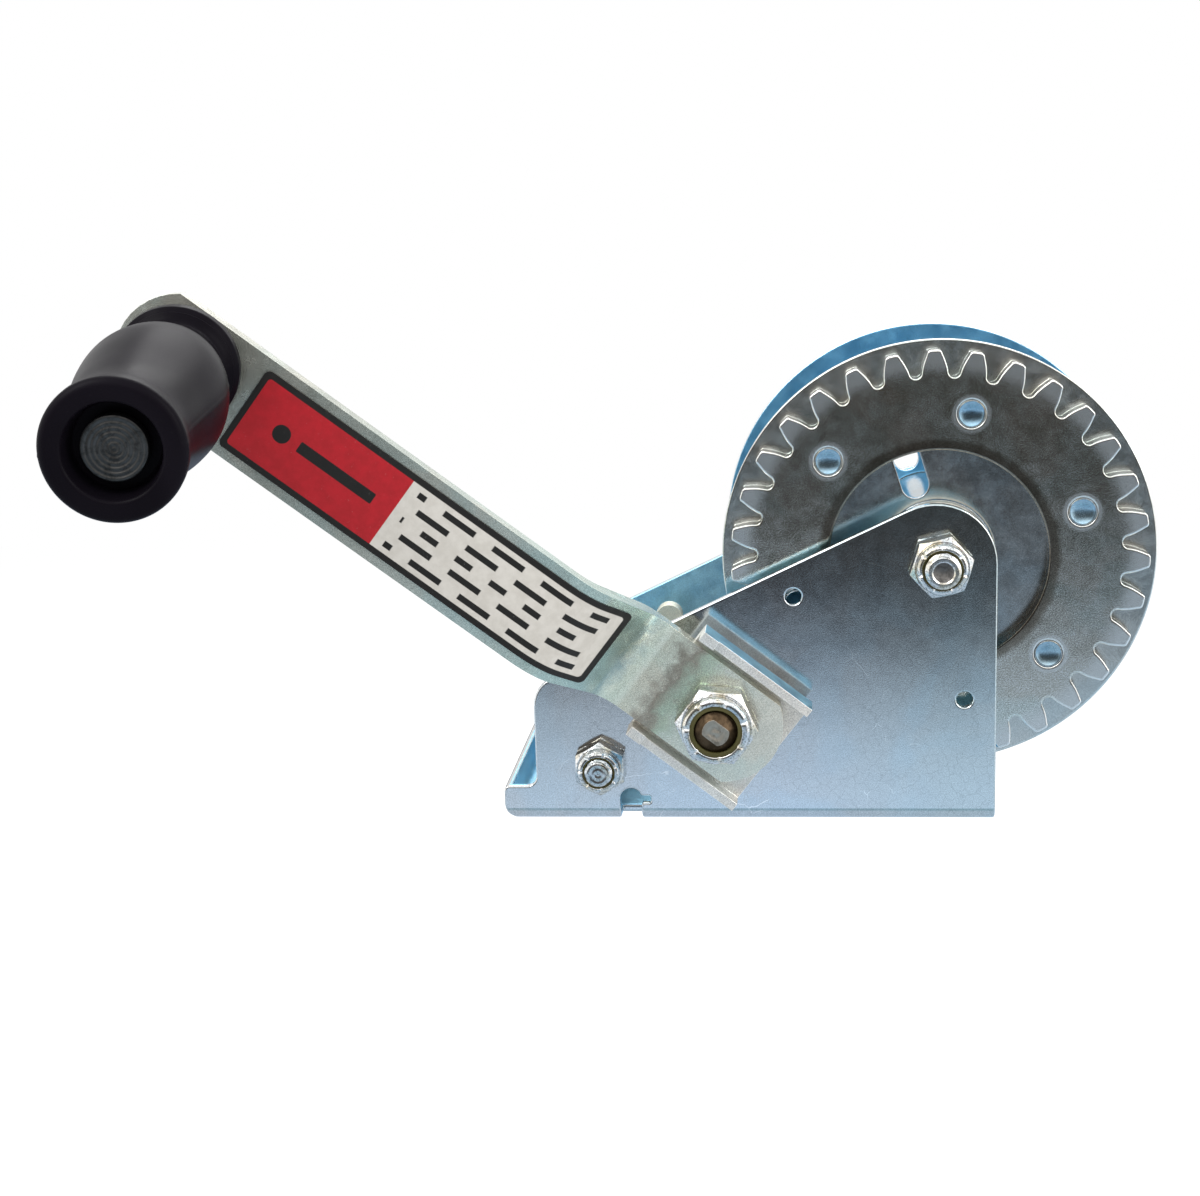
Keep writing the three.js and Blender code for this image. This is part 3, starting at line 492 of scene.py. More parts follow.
DRUM_ZINC = plated(
    "drum_zinc", (0.96, 0.97, 0.93), (0.86, 0.87, 0.83), (0.97, 0.96, 0.94), (0.9, 0.97, 1.0),
    rough=0.18, grain=0.35,
    # Painted shade: greyer and darker within 31 mm of the drum's axis, inside the gear ring and between the
    # flanges, lightening out to 44 mm.
    tints=(DRUM, None, [(0, (0.68, 0.7, 0.74)), (31, (0.68, 0.7, 0.74)), (44, (1, 1, 1)), (62, (1, 1, 1))]),
)
ARM_LINE = (math.cos(CRANK_ANGLE), 0, math.sin(CRANK_ANGLE))
ARM_ZINC = plated(
    "arm_zinc", (0.96, 0.97, 0.94), (0.86, 0.88, 0.85), (1.0, 0.97, 0.92), (0.9, 0.98, 0.97),
    rough=0.2, grain=0.6, metallic=0.74,
    # Colours along the arm, in millimetres from the drive axis: straw, brown and teal passivation tints, with
    # painted shade at 17 mm and a painted highlight from 22 to 28 mm across the bend, then greyer towards 140 mm
    # and lighter at the grip end.
    tints=(DRIVE, ARM_LINE, [
        (-20, (1.0, 0.98, 0.92)), (6, (1.0, 0.98, 0.9)), (12, (0.72, 0.8, 0.66)),
        (17, (0.5, 0.42, 0.36)), (22, (1.0, 0.97, 0.86)), (28, (0.95, 0.96, 0.84)),
        (33, (0.42, 0.54, 0.55)), (44, (0.55, 0.68, 0.66)), (80, (0.66, 0.7, 0.67)),
        (140, (0.56, 0.56, 0.52)), (180, (0.8, 0.8, 0.76)), (200, (0.95, 0.95, 0.9)),
    ]),
)
BRACKET_ZINC = plated(
    "bracket_zinc", (0.98, 0.96, 0.92), (0.9, 0.88, 0.84), (1.0, 0.97, 0.93), (0.95, 0.99, 1.0),
    rough=0.36, grain=0.7, metallic=0.66,
)
PAWL_ZINC = plated(
    "pawl_zinc", (0.86, 0.83, 0.72), (0.76, 0.73, 0.62), (1.0, 0.94, 0.84), (0.92, 0.98, 0.95),
    rough=0.36, grain=0.5, metallic=0.7,
)
BOLT_ZINC = bright_zinc("bolt_zinc")
RIVET_ZINC = bright_zinc("rivet_zinc", (0.6, 0.68, 0.74), 0.2)
# Painted shade and reflection: a darker blue for the rivets' dished faces.
PAINTED_DISH_SHADE = plated(
    "painted_dish_shade", (0.5, 0.68, 0.8), (0.38, 0.56, 0.7), (0.97, 0.96, 0.92), (0.88, 0.97, 1.0),
    rough=0.2, grain=0.4,
)
SHAFT_STEEL = turned_steel("shaft_steel", (0.5, 0.46, 0.42), DRIVE)
SHAFT_END = turned_steel("shaft_end", (0.5, 0.46, 0.39), DRIVE, 0.6, 0.4)
THREAD_STEEL = turned_steel("thread_steel", (0.11, 0.075, 0.045), DRIVE, 0.6, 0.4)
PIN_STEEL = turned_steel("pin_steel", (0.09, 0.088, 0.085), GRIP, 1.1, 0.36, tuple(grip_y))
SPRING_STEEL = turned_steel("spring_steel", (0.4, 0.41, 0.42), PAWL, 0.5, 0.3)
# Painted shade: dark steel for the hollow of the drum bolt's dished end.
PAINTED_BOLT_END_SHADE = turned_steel("painted_bolt_end_shade", (0.2, 0.19, 0.18), DRUM, 0.9, 0.5)
NYLON = moulded("nylon", (0.06, 0.055, 0.018), 0.5, (0.085, 0.078, 0.028), 0.4, 0.2)
BUSH_PLASTIC = moulded("bush_plastic", (0.72, 0.7, 0.62), 0.45, (0.66, 0.64, 0.55))
GRIP_PLASTIC = moulded("grip_plastic", (0.004, 0.0032, 0.005), 0.33, (0.0065, 0.0052, 0.008), 2.2, 0.035)


# ---- frame ----

SHEET = 2.5
FRAME_EDGE = 0.6
# The bend's own facets meet at less than this angle, so they stay smooth.
FRAME_SHARP = 50.0
SKIN = 0.3


def paint(piece, material, place, where):
    """Gives another material to the faces for which where(centre, normal) holds in the given frame."""
    piece.data.materials.append(material)
    into = place.inverted()
    turn = into.to_3x3()
    for face in piece.data.polygons:
        if where(into @ (face.center / MM), turn @ face.normal):
            face.material_index = len(piece.data.materials) - 1


def make_frame():
    """The bent sheet, with painted darker blue shade on its inside faces."""
    shape = cad_shape("frame", FRAME_EDGE, FRAME_SHARP, clamp=False)
    piece = add_piece("frame", shape, FRAME_ZINC, sharp=FRAME_SHARP)
    low, high = (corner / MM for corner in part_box("frame"))
    wall = SHEET - SKIN

    def inside(centre, normal):
        return abs(centre.y) < high.y - wall and centre.x > low.x + wall and centre.z > low.z + wall

    # Faces between the frame's walls get the painted blue shade.
    paint(piece, PAINTED_SHADE_ZINC, IDENTITY, inside)


# ---- gears ----

def gear_outline(teeth, module, shift, root_depth, tip_cut, thinning, phase, centre=(0, 0)):
    """An involute spur outline with rounded tips and U-shaped roots."""
    pressure = math.radians(20)
    pitch = module * teeth / 2
    base = pitch * math.cos(pressure)
    tip = pitch + module * (1 + shift) - tip_cut
    root = pitch - module * (root_depth - shift)

    def involute(angle):
        return math.tan(angle) - angle

    def half_at(radius):
        at_pitch = math.pi / 2 / teeth + 2 * shift * math.tan(pressure) / teeth - thinning / pitch
        return at_pitch + involute(pressure) - involute(math.acos(min(1, base / radius)))

    flank_start = max(base, root + 0.42 * module)
    flank_end = tip - 0.28 * module
    flank = [(r, half_at(r)) for r in np.linspace(flank_start, flank_end, 7)]
    half_end = half_at(flank_end)
    for turn in np.linspace(0, math.pi / 2, 6)[1:]:
        reach = flank_end + (tip - flank_end) * math.sin(turn)
        flank.append((reach, half_end * (0.4 + 0.6 * math.cos(turn))))
    half_gap = math.pi / teeth - half_at(flank_start)
    outline = []
    for tooth in range(teeth):
        middle = phase + 2 * math.pi * tooth / teeth
        outline += [(r, middle - half) for r, half in flank]
        outline += [(r, middle + half) for r, half in reversed(flank)]
        for turn in np.linspace(0, math.pi, 11)[1:-1]:
            depth = (flank_start - root) * math.sin(turn)
            across = middle + math.pi / teeth - half_gap * math.cos(turn)
            outline.append((flank_start - depth, across))
    return [(centre[0] + r * math.cos(a), centre[1] + r * math.sin(a)) for r, a in outline]


def double_d(radius, half_height):
    """A circle with two flats, as the shaft's keyed gears are bored."""
    corner = math.asin(half_height / radius)
    right = arc((0, 0), radius, -corner, corner, 16)
    left = arc((0, 0), radius, math.pi - corner, math.pi + corner, 16)
    return right + left


DRUM_CENTRE = (DRUM.x, DRUM.z)
TO_DRIVE = math.atan2(DRIVE.z - DRUM.z, DRIVE.x - DRUM.x)
DRUM_TEETH = 31
DRUM_ROOT_DEPTH = 1.12
PINION_TEETH = 10
PINION_ROOT_DEPTH = 1.25
PINION_SHIFT = 0.51
PINION_TIP_CUT = 0.6
# The drum gear's teeth are this much fatter than an even share and the pinion's this much slimmer.
TOOTH_TRADE = 0.3
TOOTH_CLEARANCE = 0.32
KEY_RADIUS = 7.1
KEY_HALF_HEIGHT = 5.5


def make_gears():
    """The drum gear and the pinion in mesh, with slightly more clearance than in the CAD, and the ratchet."""
    low, high, inner, tip = node_span("drum_gear", Matrix.Translation(DRUM))
    module = tip / (DRUM_TEETH / 2 + 1)
    phase = TO_DRIVE + math.pi / DRUM_TEETH
    outline = gear_outline(DRUM_TEETH, module, 0, DRUM_ROOT_DEPTH, 0, -TOOTH_TRADE, phase, DRUM_CENTRE)
    holes = [circle(*middle_of(node), RIVET_HOLE) for node in RIVETS]
    ring = plate([outline, circle(*DRUM_CENTRE, inner, 192), *holes], low, high, GEAR_EDGE)
    add_piece("drum_gear", ring, GEAR_ZINC)

    low, high = node_span("pinion_gear", DRIVE_PLACE)[:2]
    phase = TO_DRIVE + math.pi - CRANK_ANGLE
    thinning = TOOTH_TRADE + 2 * TOOTH_CLEARANCE
    outline = gear_outline(
        PINION_TEETH, module, PINION_SHIFT, PINION_ROOT_DEPTH, PINION_TIP_CUT, thinning, phase
    )
    pinion = plate([outline, double_d(KEY_RADIUS, KEY_HALF_HEIGHT)], low, high, 0.45)
    add_piece("pinion_gear", pinion, SHAFT_STEEL, DRIVE_PLACE)
    add_piece("ratchet_wheel", cad_shape("ratchet_wheel", 0.35), SHAFT_STEEL)


# ---- tubes ----

def add_tube(node, place, material, steps=96, inner_round=0.3, outer_round=0.5):
    """A plain turned tube with rounded edges, over a CAD node's own length and radii."""
    low, high, inner, outer = node_span(node, place)
    profile = rounded([
        (inner, low, inner_round), (outer, low, outer_round),
        (outer, high, outer_round), (inner, high, inner_round),
    ])
    add_piece(node, lathe(profile, steps), material, place)


# ---- drum ----

RIVET_HOLE = 4.0
RIVET_DEPTH = 0.75
ANCHOR_ANGLE = math.radians(107.5)
ANCHOR_REACH = (21.4, 32.0)
ANCHOR_HALF_WIDTH = 3.8
GEAR_EDGE = 0.75
FLANGE_EDGE = 0.7


def make_flange(node, rivet_holes):
    """A sheet disc with the rope's anchor slot; the rear one has painted blue shade where it faces the drum."""
    low, high, inner, outer = node_span(node, Matrix.Translation(DRUM))
    direction = (math.cos(ANCHOR_ANGLE), math.sin(ANCHOR_ANGLE))
    ends = [DRUM_CENTRE[k] + reach * direction[k] for reach in ANCHOR_REACH for k in (0, 1)]
    holes = [circle(*DRUM_CENTRE, inner, 96), obround(*ends, ANCHOR_HALF_WIDTH)]
    holes += [circle(*middle_of(rivet), RIVET_HOLE) for rivet in rivet_holes]
    sheet = plate([circle(*DRUM_CENTRE, outer, 288), *holes], low, high, FLANGE_EDGE)
    piece = add_piece(node, sheet, DRUM_ZINC)
    if not rivet_holes:
        # The rear flange's face toward the drum gets the painted blue shade.
        paint(piece, PAINTED_FLANGE_SHADE, IDENTITY, lambda centre, normal: normal.y < -0.97)


def make_rivet(node):
    """A rivet whose face is dished where the press closed it, with a fine witness ring."""
    x, z = middle_of(node)
    place = Matrix.Translation((x, 0, z))
    front, back, _, head = node_span(node, place)
    shank = RIVET_HOLE - 0.1
    edge = shank - 0.3
    dish = [(edge * f, front + RIVET_DEPTH * (1 - f ** 2.4)) for f in np.linspace(0, 1, 14)]
    rim = rounded([(edge + 0.05, front), (shank, front, 0.15), (shank, back - 1.7)], 4, closed=False)
    inside = rounded([(head, back - 1.6, 0.2), (head - 0.2, back - 0.5, 0.5), (0, back)], 4, closed=False)
    piece = add_piece(node, lathe(dish + rim + [(shank, back - 1.6)] + inside, 64), RIVET_ZINC, place)

    def dished(centre, normal):
        return centre.y < front + 2 and math.hypot(centre.x, centre.z) < edge

    # The dish gets the painted shade and reflection, darker and bluer than the rim.
    paint(piece, PAINTED_DISH_SHADE, place, dished)


def make_drum():
    make_flange("drum_front_flange", RIVETS)
    make_flange("drum_rear_flange", [])
    for node in RIVETS:
        make_rivet(node)
    axis = Matrix.Translation(DRUM)
    add_tube("drum_core", axis, DRUM_ZINC, 128, 0.4, 0.3)
    for node in ("drum_bush_front", "drum_bush_rear"):
        add_piece(node, cad_shape(node, 0.35), BUSH_PLASTIC)
    add_tube("drum_sleeve", axis, SHAFT_STEEL)


# ---- fasteners ----

HALF_HEX = math.pi / 6
STAKES = 7
THREAD_DEPTH = 0.62


def hexed(across_flats, turn, low, high):
    """A warp that clips a turned profile to a hexagon between two heights."""
    def warp(radius, y, angle):
        if not low <= y <= high:
            return radius, y
        reach = across_flats / 2 / math.cos((angle - turn) % (2 * HALF_HEX) - HALF_HEX)
        return min(radius, reach), y
    return warp


def threaded(radius, pitch, low, high, depth=THREAD_DEPTH):
    """A warp that cuts a helical thread, depth times its pitch deep, into a shank between two heights."""
    def warp(r, y, angle):
        if r < radius - 0.02 or not low <= y <= high:
            return r, y
        turn = (y / pitch - angle / (2 * math.pi)) % 1
        ramp = abs(2 * turn - 1)
        return r - depth * pitch * min(1, max(0, 1.25 * ramp - 0.125)), y
    return warp


def in_turn(*warps):
    def warp(radius, y, angle):
        for each in warps:
            radius, y = each(radius, y, angle)
        return radius, y
    return warp


def dense(low, high, step, radius):
    count = max(2, int(abs(high - low) / step))
    return [(radius, y) for y in np.linspace(low, high, count)]


def make_lock_nut(node, place):
    """A lock nut: chamfered hexagon, then a collar crimped over a nylon ring and staked at seven places."""
    end, seat, bore, corner = node_span(node, place)
    turn = corner_angle(node, place)
    half_flat = corner * math.cos(HALF_HEX)
    height = seat - end
    hex_end = seat - 0.66 * height
    ring = node_span(f"{node}_insert", place)
    pocket = ring[3] + 0.1
    collar = half_flat - 0.75
    side = [(half_flat + (corner - half_flat) * f, seat - 0.9 * f) for f in np.linspace(0, 1, 6)]
    cut = corner - half_flat + 0.35
    top = [(corner - cut * f, hex_end + 1.5 * (1 - f)) for f in np.linspace(0, 1, 12)]
    lip = rounded([
        (collar + 0.15, hex_end, 0.15), (collar, hex_end - 0.4, 0.3), (collar, end, 1.25),
        (pocket - 0.55, end + 0.1, 0.35), (pocket - 0.55, end + 0.75, 0.2), (pocket, end + 0.95),
    ], 5, closed=False)
    well = [(pocket, seat - 0.72 * height), (bore, seat - 0.72 * height), (bore, seat)]

    def staked(radius, y, angle):
        if y > end + 1.5 or radius < pocket - 0.6:
            return radius, y
        around = (angle - turn) * STAKES / (2 * math.pi) % 1 - 0.5
        dent = math.exp(-((around / 0.055) ** 2))
        return radius - 0.16 * dent, y + 0.34 * dent * (1.5 - (y - end)) / 1.5

    warp = in_turn(hexed(2 * half_flat, turn, hex_end - 0.01, seat + 1), staked)
    add_piece(node, lathe(side + top + lip + well, 168, turn, warp), BOLT_ZINC, place, 30)

    low, high, inner, outer = ring
    torus = rounded([(inner, low, 0.3), (outer, low, 0.3), (outer, high), (inner, high)], 4)
    add_piece(f"{node}_insert", lathe(torus, 72), NYLON, place)


def make_bolt(node, nut, pitch, place, dished):
    """A hexagon-head bolt with a rolled thread at its front end."""
    front, back, _, corner = node_span(node, place)
    turn = corner_angle(node, place)
    half_flat = corner * math.cos(HALF_HEX)
    seat = -node_span(nut, place)[1]
    radius = node_span(nut, place)[2] - 0.1
    tip = radius - THREAD_DEPTH * pitch * 0.9
    if dished:
        rim = tip * 0.78
        face = [(r, front + 1.5 * math.cos(r / rim * math.pi / 2)) for r in np.linspace(0, rim, 9)]
    else:
        face = [(r, front + 0.06 * math.sin(r * 4)) for r in np.linspace(0, tip * 0.9, 12)]
    chamfer = rounded([(tip * 0.92, front), (tip, front, 0.3), (radius, front + 1.0)], 4, closed=False)
    shank = dense(front + 1.05, front + 8.5, pitch / 9, radius)
    shank += [(radius, seat - 0.4), (radius + 0.3, seat)]
    washer = [(half_flat - 0.4, seat), (half_flat - 0.4, seat + 0.35), (half_flat, seat + 0.4)]
    side = [(corner, seat + 0.9)]
    crown = [(corner - (corner - half_flat + 0.5) * f, back - 1.5 * (1 - f)) for f in np.linspace(0, 1, 12)]
    cap = [(half_flat - 1.4, back), (half_flat - 2.0, back - 0.25), (0, back - 0.25)]
    warp = in_turn(
        hexed(2 * half_flat, turn, seat + 0.36, back - 0.001),
        threaded(radius, pitch, front + 0.4, front + 8.5),
    )
    profile = face + chamfer + shank + washer + side + crown + cap
    bolt = add_piece(node, lathe(profile, 96, turn, warp), BOLT_ZINC, place, 34)
    if dished:
        # The dished end's hollow gets the painted dark shade.
        paint(bolt, PAINTED_BOLT_END_SHADE, place, lambda c, normal: math.hypot(c.x, c.z) < tip * 0.72 and c.y < front + 2)


def make_fasteners():
    drum_axis = Matrix.Translation(DRUM)
    cross_axis = Matrix.Translation(PAWL)
    make_lock_nut("drum_nut", drum_axis)
    make_bolt("drum_bolt", "drum_nut", 1.5, drum_axis, dished=True)
    make_lock_nut("cross_nut", cross_axis)
    make_bolt("cross_bolt", "cross_nut", 1.25, cross_axis, dished=False)
    make_lock_nut("crank_nut", DRIVE_PLACE)
    add_tube("cross_spacer", cross_axis, SHAFT_STEEL)


# ---- drive ----

SHAFT_RADIUS = 7.0
SHAFT_HALF_FLAT = 5.4
SHAFT_THREAD = 6.0
SHAFT_PITCH = 1.75
SHAFT_TIP = 3.7
TIP_HALF_FLAT = 2.7
SHOULDER_RADIUS = 8.5


def make_shaft():
    """The drive shaft: threaded and flatted in front, shouldered between its gears, grooved behind."""
    front, back, _, _ = node_span("drive_shaft", DRIVE_PLACE)
    nut_seat = node_span("crank_nut", DRIVE_PLACE)[1]
    pinion_back = node_span("pinion_gear", DRIVE_PLACE)[1]
    ratchet_front, ratchet_back = node_span("ratchet_wheel", DRIVE_PLACE)[:2]
    ring_front, ring_back = node_span("retaining_ring", DRIVE_PLACE)[:2]
    groove = SHAFT_RADIUS - 1.15
    face = [(r, front + 0.12 * (1 - math.cos(r * 2.2))) for r in np.linspace(0, SHAFT_TIP - 0.5, 10)]
    cone = rounded([
        (SHAFT_TIP - 0.3, front), (SHAFT_TIP, front, 0.2), (SHAFT_THREAD, front + 1.7),
    ], 3, closed=False)
    thread = dense(front + 1.8, front + 9, SHAFT_PITCH / 9, SHAFT_THREAD) + [(SHAFT_THREAD, nut_seat - 0.1)]
    body = rounded([
        (SHAFT_THREAD, nut_seat), (SHAFT_RADIUS, nut_seat, 0.3),
        (SHAFT_RADIUS, pinion_back + 0.1), (SHOULDER_RADIUS, pinion_back + 0.1, 0.4),
        (SHOULDER_RADIUS, ratchet_front - 0.1, 0.4), (SHAFT_RADIUS, ratchet_front - 0.1),
        (SHAFT_RADIUS, ratchet_back + 0.2, 0.1), (SHAFT_RADIUS, ratchet_back + 0.4),
        (SHAFT_RADIUS, ring_front - 0.1), (groove, ring_front - 0.1),
        (groove, ring_back + 0.1), (SHAFT_RADIUS, ring_back + 0.1),
        (SHAFT_RADIUS, back, 0.8), (1.6, back), (0, back - 1.4),
    ], 4, closed=False)

    def flatted(radius, y, angle):
        across = max(abs(math.sin(angle)), 1e-6)
        if y <= front + 1.6:
            return radius * min(1, TIP_HALF_FLAT / SHAFT_TIP / across), y
        if nut_seat - 0.2 <= y <= ratchet_back + 0.3 and radius <= SHAFT_RADIUS:
            return min(radius, SHAFT_HALF_FLAT / across), y
        return radius, y

    warp = in_turn(flatted, threaded(SHAFT_THREAD, SHAFT_PITCH, front + 1.2, nut_seat - 0.2, 0.55))
    shape = lathe(face + cone + thread + body, 96, 0, warp)
    piece = add_piece("drive_shaft", shape, SHAFT_STEEL, DRIVE_PLACE)
    paint(piece, THREAD_STEEL, DRIVE_PLACE, lambda centre, normal: front + 0.25 < centre.y < nut_seat)
    paint(piece, SHAFT_END, DRIVE_PLACE, lambda centre, normal: centre.y <= front + 0.25)


def make_retaining_ring():
    """An E-shaped clip: a ring open at one side, with three lobes that grip the groove."""
    low, high, inner, outer = node_span("retaining_ring", DRIVE_PLACE)
    opening = math.radians(38)
    outside = arc((0, 0), outer, opening, 2 * math.pi - opening, 60)
    inside = []
    for i in range(73):
        angle = 2 * math.pi - opening - (2 * math.pi - 2 * opening) * i / 72
        lobe = max(0, math.cos(3 * (angle - math.pi))) ** 6
        inside.append((inner + 1.6 - 1.5 * lobe, angle))
    inside = [(r * math.cos(a), r * math.sin(a)) for r, a in inside]
    add_piece("retaining_ring", plate([outside + inside], low, high, 0.18), SPRING_STEEL, DRIVE_PLACE)


HUB_REACH = (26.0, 46.0)
HUB_NARROWING = 0.065


def make_arm_and_bracket():
    """The arm, slightly narrower where it lies between the bracket's walls, and the bracket."""
    bracket = add_piece("handle_bracket", cad_shape("handle_bracket", 0.7), BRACKET_ZINC)
    wall = node_points("handle_bracket", DRIVE_PLACE)[:, 2].max() - 0.5
    # Painted reflection: the bracket's outward wall faces take the painted blue shade, which the front plate
    # mirrors as a blue band.
    paint(bracket, PAINTED_SHADE_ZINC, DRIVE_PLACE, lambda c, normal: abs(normal.z) > 0.9 and abs(c.z) > wall)

    arm = cad_shape("crank_arm", 0.9)
    into = DRIVE_PLACE.inverted()
    for vert in arm.verts:
        here = into @ vert.co
        share = min(1, max(0, (HUB_REACH[1] - here.x) / (HUB_REACH[1] - HUB_REACH[0])))
        here.z *= 1 - HUB_NARROWING * share
        vert.co = DRIVE_PLACE @ here
    add_piece("crank_arm", arm, ARM_ZINC)


def make_drive():
    make_shaft()
    make_retaining_ring()
    add_tube("shaft_spacer", DRIVE_PLACE, BOLT_ZINC)
    for node in ("shaft_bush_front", "shaft_bush_rear"):
        add_piece(node, cad_shape(node, 0.3), BUSH_PLASTIC)
    make_arm_and_bracket()


# ---- label ----

LABEL_BORDER = 1.7
LABEL_CORNER = 1.6
LABEL_SPLIT = 107.0


def label_film(start, end, half_width):
    """Printed film: a black border round a red and an off-white panel, with plain blocks for lines."""
    material, g = new_material("label_film")
    away = g.vector("SUBTRACT", g.place(), tuple(DRIVE * MM))
    turned = g.add("ShaderNodeVectorRotate", {"Vector": away, "Axis": (0, 1, 0), "Angle": CRANK_ANGLE},
                   rotation_type="AXIS_ANGLE")
    split = g.add("ShaderNodeSeparateXYZ", {0: turned}, 0)
    across = g.add("ShaderNodeSeparateXYZ", {0: turned}, 2)
    s = g.math("DIVIDE", split, MM)
    t = g.math("DIVIDE", across, MM)

    def panel(low, high, inset, corner):
        """1 inside a rounded panel that runs from low to high along the arm."""
        half_s = (high - low) / 2 - corner
        half_t = half_width - inset - corner
        from_middle = g.math("ABSOLUTE", g.math("SUBTRACT", s, (low + high) / 2))
        over_s = g.math("MAXIMUM", g.math("SUBTRACT", from_middle, half_s), 0)
        over_t = g.math("MAXIMUM", g.math("SUBTRACT", g.math("ABSOLUTE", t), half_t), 0)
        reach = g.math("SQRT", g.math("ADD", g.math("POWER", over_s, 2), g.math("POWER", over_t, 2)))
        return g.spread(reach, corner + 0.1, corner - 0.1)

    inner = panel(start + LABEL_BORDER, end - LABEL_BORDER, LABEL_BORDER, 1.0)
    red_side = g.spread(s, LABEL_SPLIT - 0.1, LABEL_SPLIT + 0.1)
    fade = g.noise(3, 4, 0.6)
    red = g.mix(g.spread(fade, 0.3, 0.7), (0.4, 0.007, 0.015), (0.33, 0.006, 0.012))
    white = g.mix(g.spread(fade, 0.3, 0.7), (0.56, 0.54, 0.5), (0.49, 0.47, 0.43))
    ink = (0.012, 0.011, 0.01)
    where = g.add("ShaderNodeCombineXYZ", {0: g.math("MULTIPLY", s, 0.4), 1: t})
    blocks = g.add("ShaderNodeTexBrick", {
        "Vector": g.vector("ADD", where, (3.0, 2.05, 0)), "Scale": 1.0,
        "Mortar Size": 1.25, "Mortar Smooth": 0.12, "Brick Width": 6.4, "Row Height": 4.1,
    }, "Fac", offset=0.37, offset_frequency=2, squash=0.7, squash_frequency=3)
    lines = g.math("MULTIPLY", g.math("SUBTRACT", 1.0, blocks), panel(start + 5, LABEL_SPLIT - 3, 2.9, 0.5))
    white = g.mix(lines, white, ink)
    dot = panel(end - 15, end - 10, half_width - 2.5, 2.4)
    bar = panel(LABEL_SPLIT + 6, end - 18, half_width - 1.6, 0.4)
    red = g.mix(g.math("MAXIMUM", bar, dot), red, ink)
    base = g.mix(red_side, white, red)
    base = g.mix(inner, ink, base)
    scuff = g.spread(g.noise(1.2, 5, 0.8), 0.62, 0.7)
    base = g.mix(g.math("MULTIPLY", scuff, 0.1), base, (0.5, 0.5, 0.5))
    g.surface(base_color=base, roughness=g.spread(fade, 0.3, 0.7, 0.45, 0.6), specular_ior_level=0.3,
              normal=g.bump(g.noise(0.6, 3, 0.6), 0.08, 0.03))
    return material


def make_label():
    """A thin film laid along the bent face of the arm, from its own CAD solid's outer face."""
    points = node_points("arm_label", DRIVE_PLACE)
    start, end = points[:, 0].min(), points[:, 0].max()
    half_width = points[:, 2].max()
    faces = [list(p.vertices) for p in frame["nodes"]["arm_label"].data.polygons]
    tree = BVHTree.FromPolygons([tuple(p) for p in points], faces)
    bend = np.linspace(0, math.pi / 2, 9)
    near = [start + LABEL_CORNER * (1 - math.sin(a)) for a in bend[::-1]]
    far = [end - LABEL_CORNER * (1 - math.sin(a)) for a in bend]
    places = near + list(np.arange(near[-1] + 1, far[0] - 0.5, 1.0)) + far
    shape = bmesh.new()
    rows = []
    for s in places:
        inset = max(0, LABEL_CORNER - min(s - start, end - s))
        half = half_width - LABEL_CORNER + math.sqrt(max(0, LABEL_CORNER ** 2 - inset ** 2))
        probe = min(max(s, start + 0.05), end - 0.05)
        outside = tree.ray_cast((probe, -200, 0.013), (0, 1, 0))[0].y
        inside = outside + 0.28
        rows.append([
            [shape.verts.new((s, y, half * u)) for u in (-1, -0.5, 0, 0.5, 1)] for y in (outside, inside)
        ])
    for before, after in zip(rows, rows[1:]):
        for layer in (0, 1):
            for k in range(4):
                near_edge, far_edge = before[layer][k:k + 2], after[layer][k:k + 2]
                shape.faces.new((near_edge[0], near_edge[1], far_edge[1], far_edge[0]))
        for k in (0, 4):
            shape.faces.new((before[0][k], after[0][k], after[1][k], before[1][k]))
    for row in (rows[0], rows[-1]):
        for k in range(4):
            shape.faces.new((row[0][k], row[0][k + 1], row[1][k + 1], row[1][k]))
    add_piece("arm_label", shape, label_film(start, end, half_width), DRIVE_PLACE)


# ---- grip ----

# The barrel's swelling outline: (radius, distance from the arm end along Y).
BARREL = (
    (15.2, -6.4), (13.4, -7.9), (12.8, -10), (13.6, -16), (16.6, -27), (18.2, -39), (17.9, -50),
    (16.3, -64), (15.0, -77), (15.3, -85), (16.4, -88.5),
)


def make_grip():
    """A turned grip with a swelling barrel, a flared lip, a deep recess and a faint mould line."""
    end, start, bore, _ = node_span("grip", GRIP_PLACE)
    base = rounded([
        (bore, start), (15.4, start, 0.8), (16.4, start - 1.2, 0.8),
        (16.4, start - 4.6, 1.2), (15.2, start - 6.0),
    ], 4, closed=False)
    barrel = smooth_line([(r, start + y) for r, y in BARREL], 6)
    lip = rounded([
        (16.5, end + 4.4), (16.6, end, 2.2), (11.2, end, 1.1), (10.2, end + 8, 0.8), (bore, end + 8),
    ], 8, closed=False)

    def mould_line(radius, y, angle):
        ridge = 0.09 if round(angle / (2 * math.pi) * 180) % 90 == 20 else 0
        return (radius + ridge, y) if radius > 12.5 else (radius, y)

    add_piece("grip", lathe(base + barrel + lip, 180, 0, mould_line), GRIP_PLASTIC, GRIP_PLACE, 40)


def smooth_line(points, steps):
    """A Catmull-Rom line through the points."""
    padded = [points[0], *points, points[-1]]
    line = []
    for i in range(1, len(padded) - 2):
        a, b, c, d = (np.array(padded[k]) for k in range(i - 1, i + 3))
        for t in np.linspace(0, 1, steps, endpoint=False):
            line.append(tuple(0.5 * (2 * b + (c - a) * t + (2 * a - 5 * b + 4 * c - d) * t * t
                                     + (3 * b - 3 * c + d - a) * t ** 3)))
    line.append(tuple(points[-1]))
    return line


RING_PITCH = 1.15


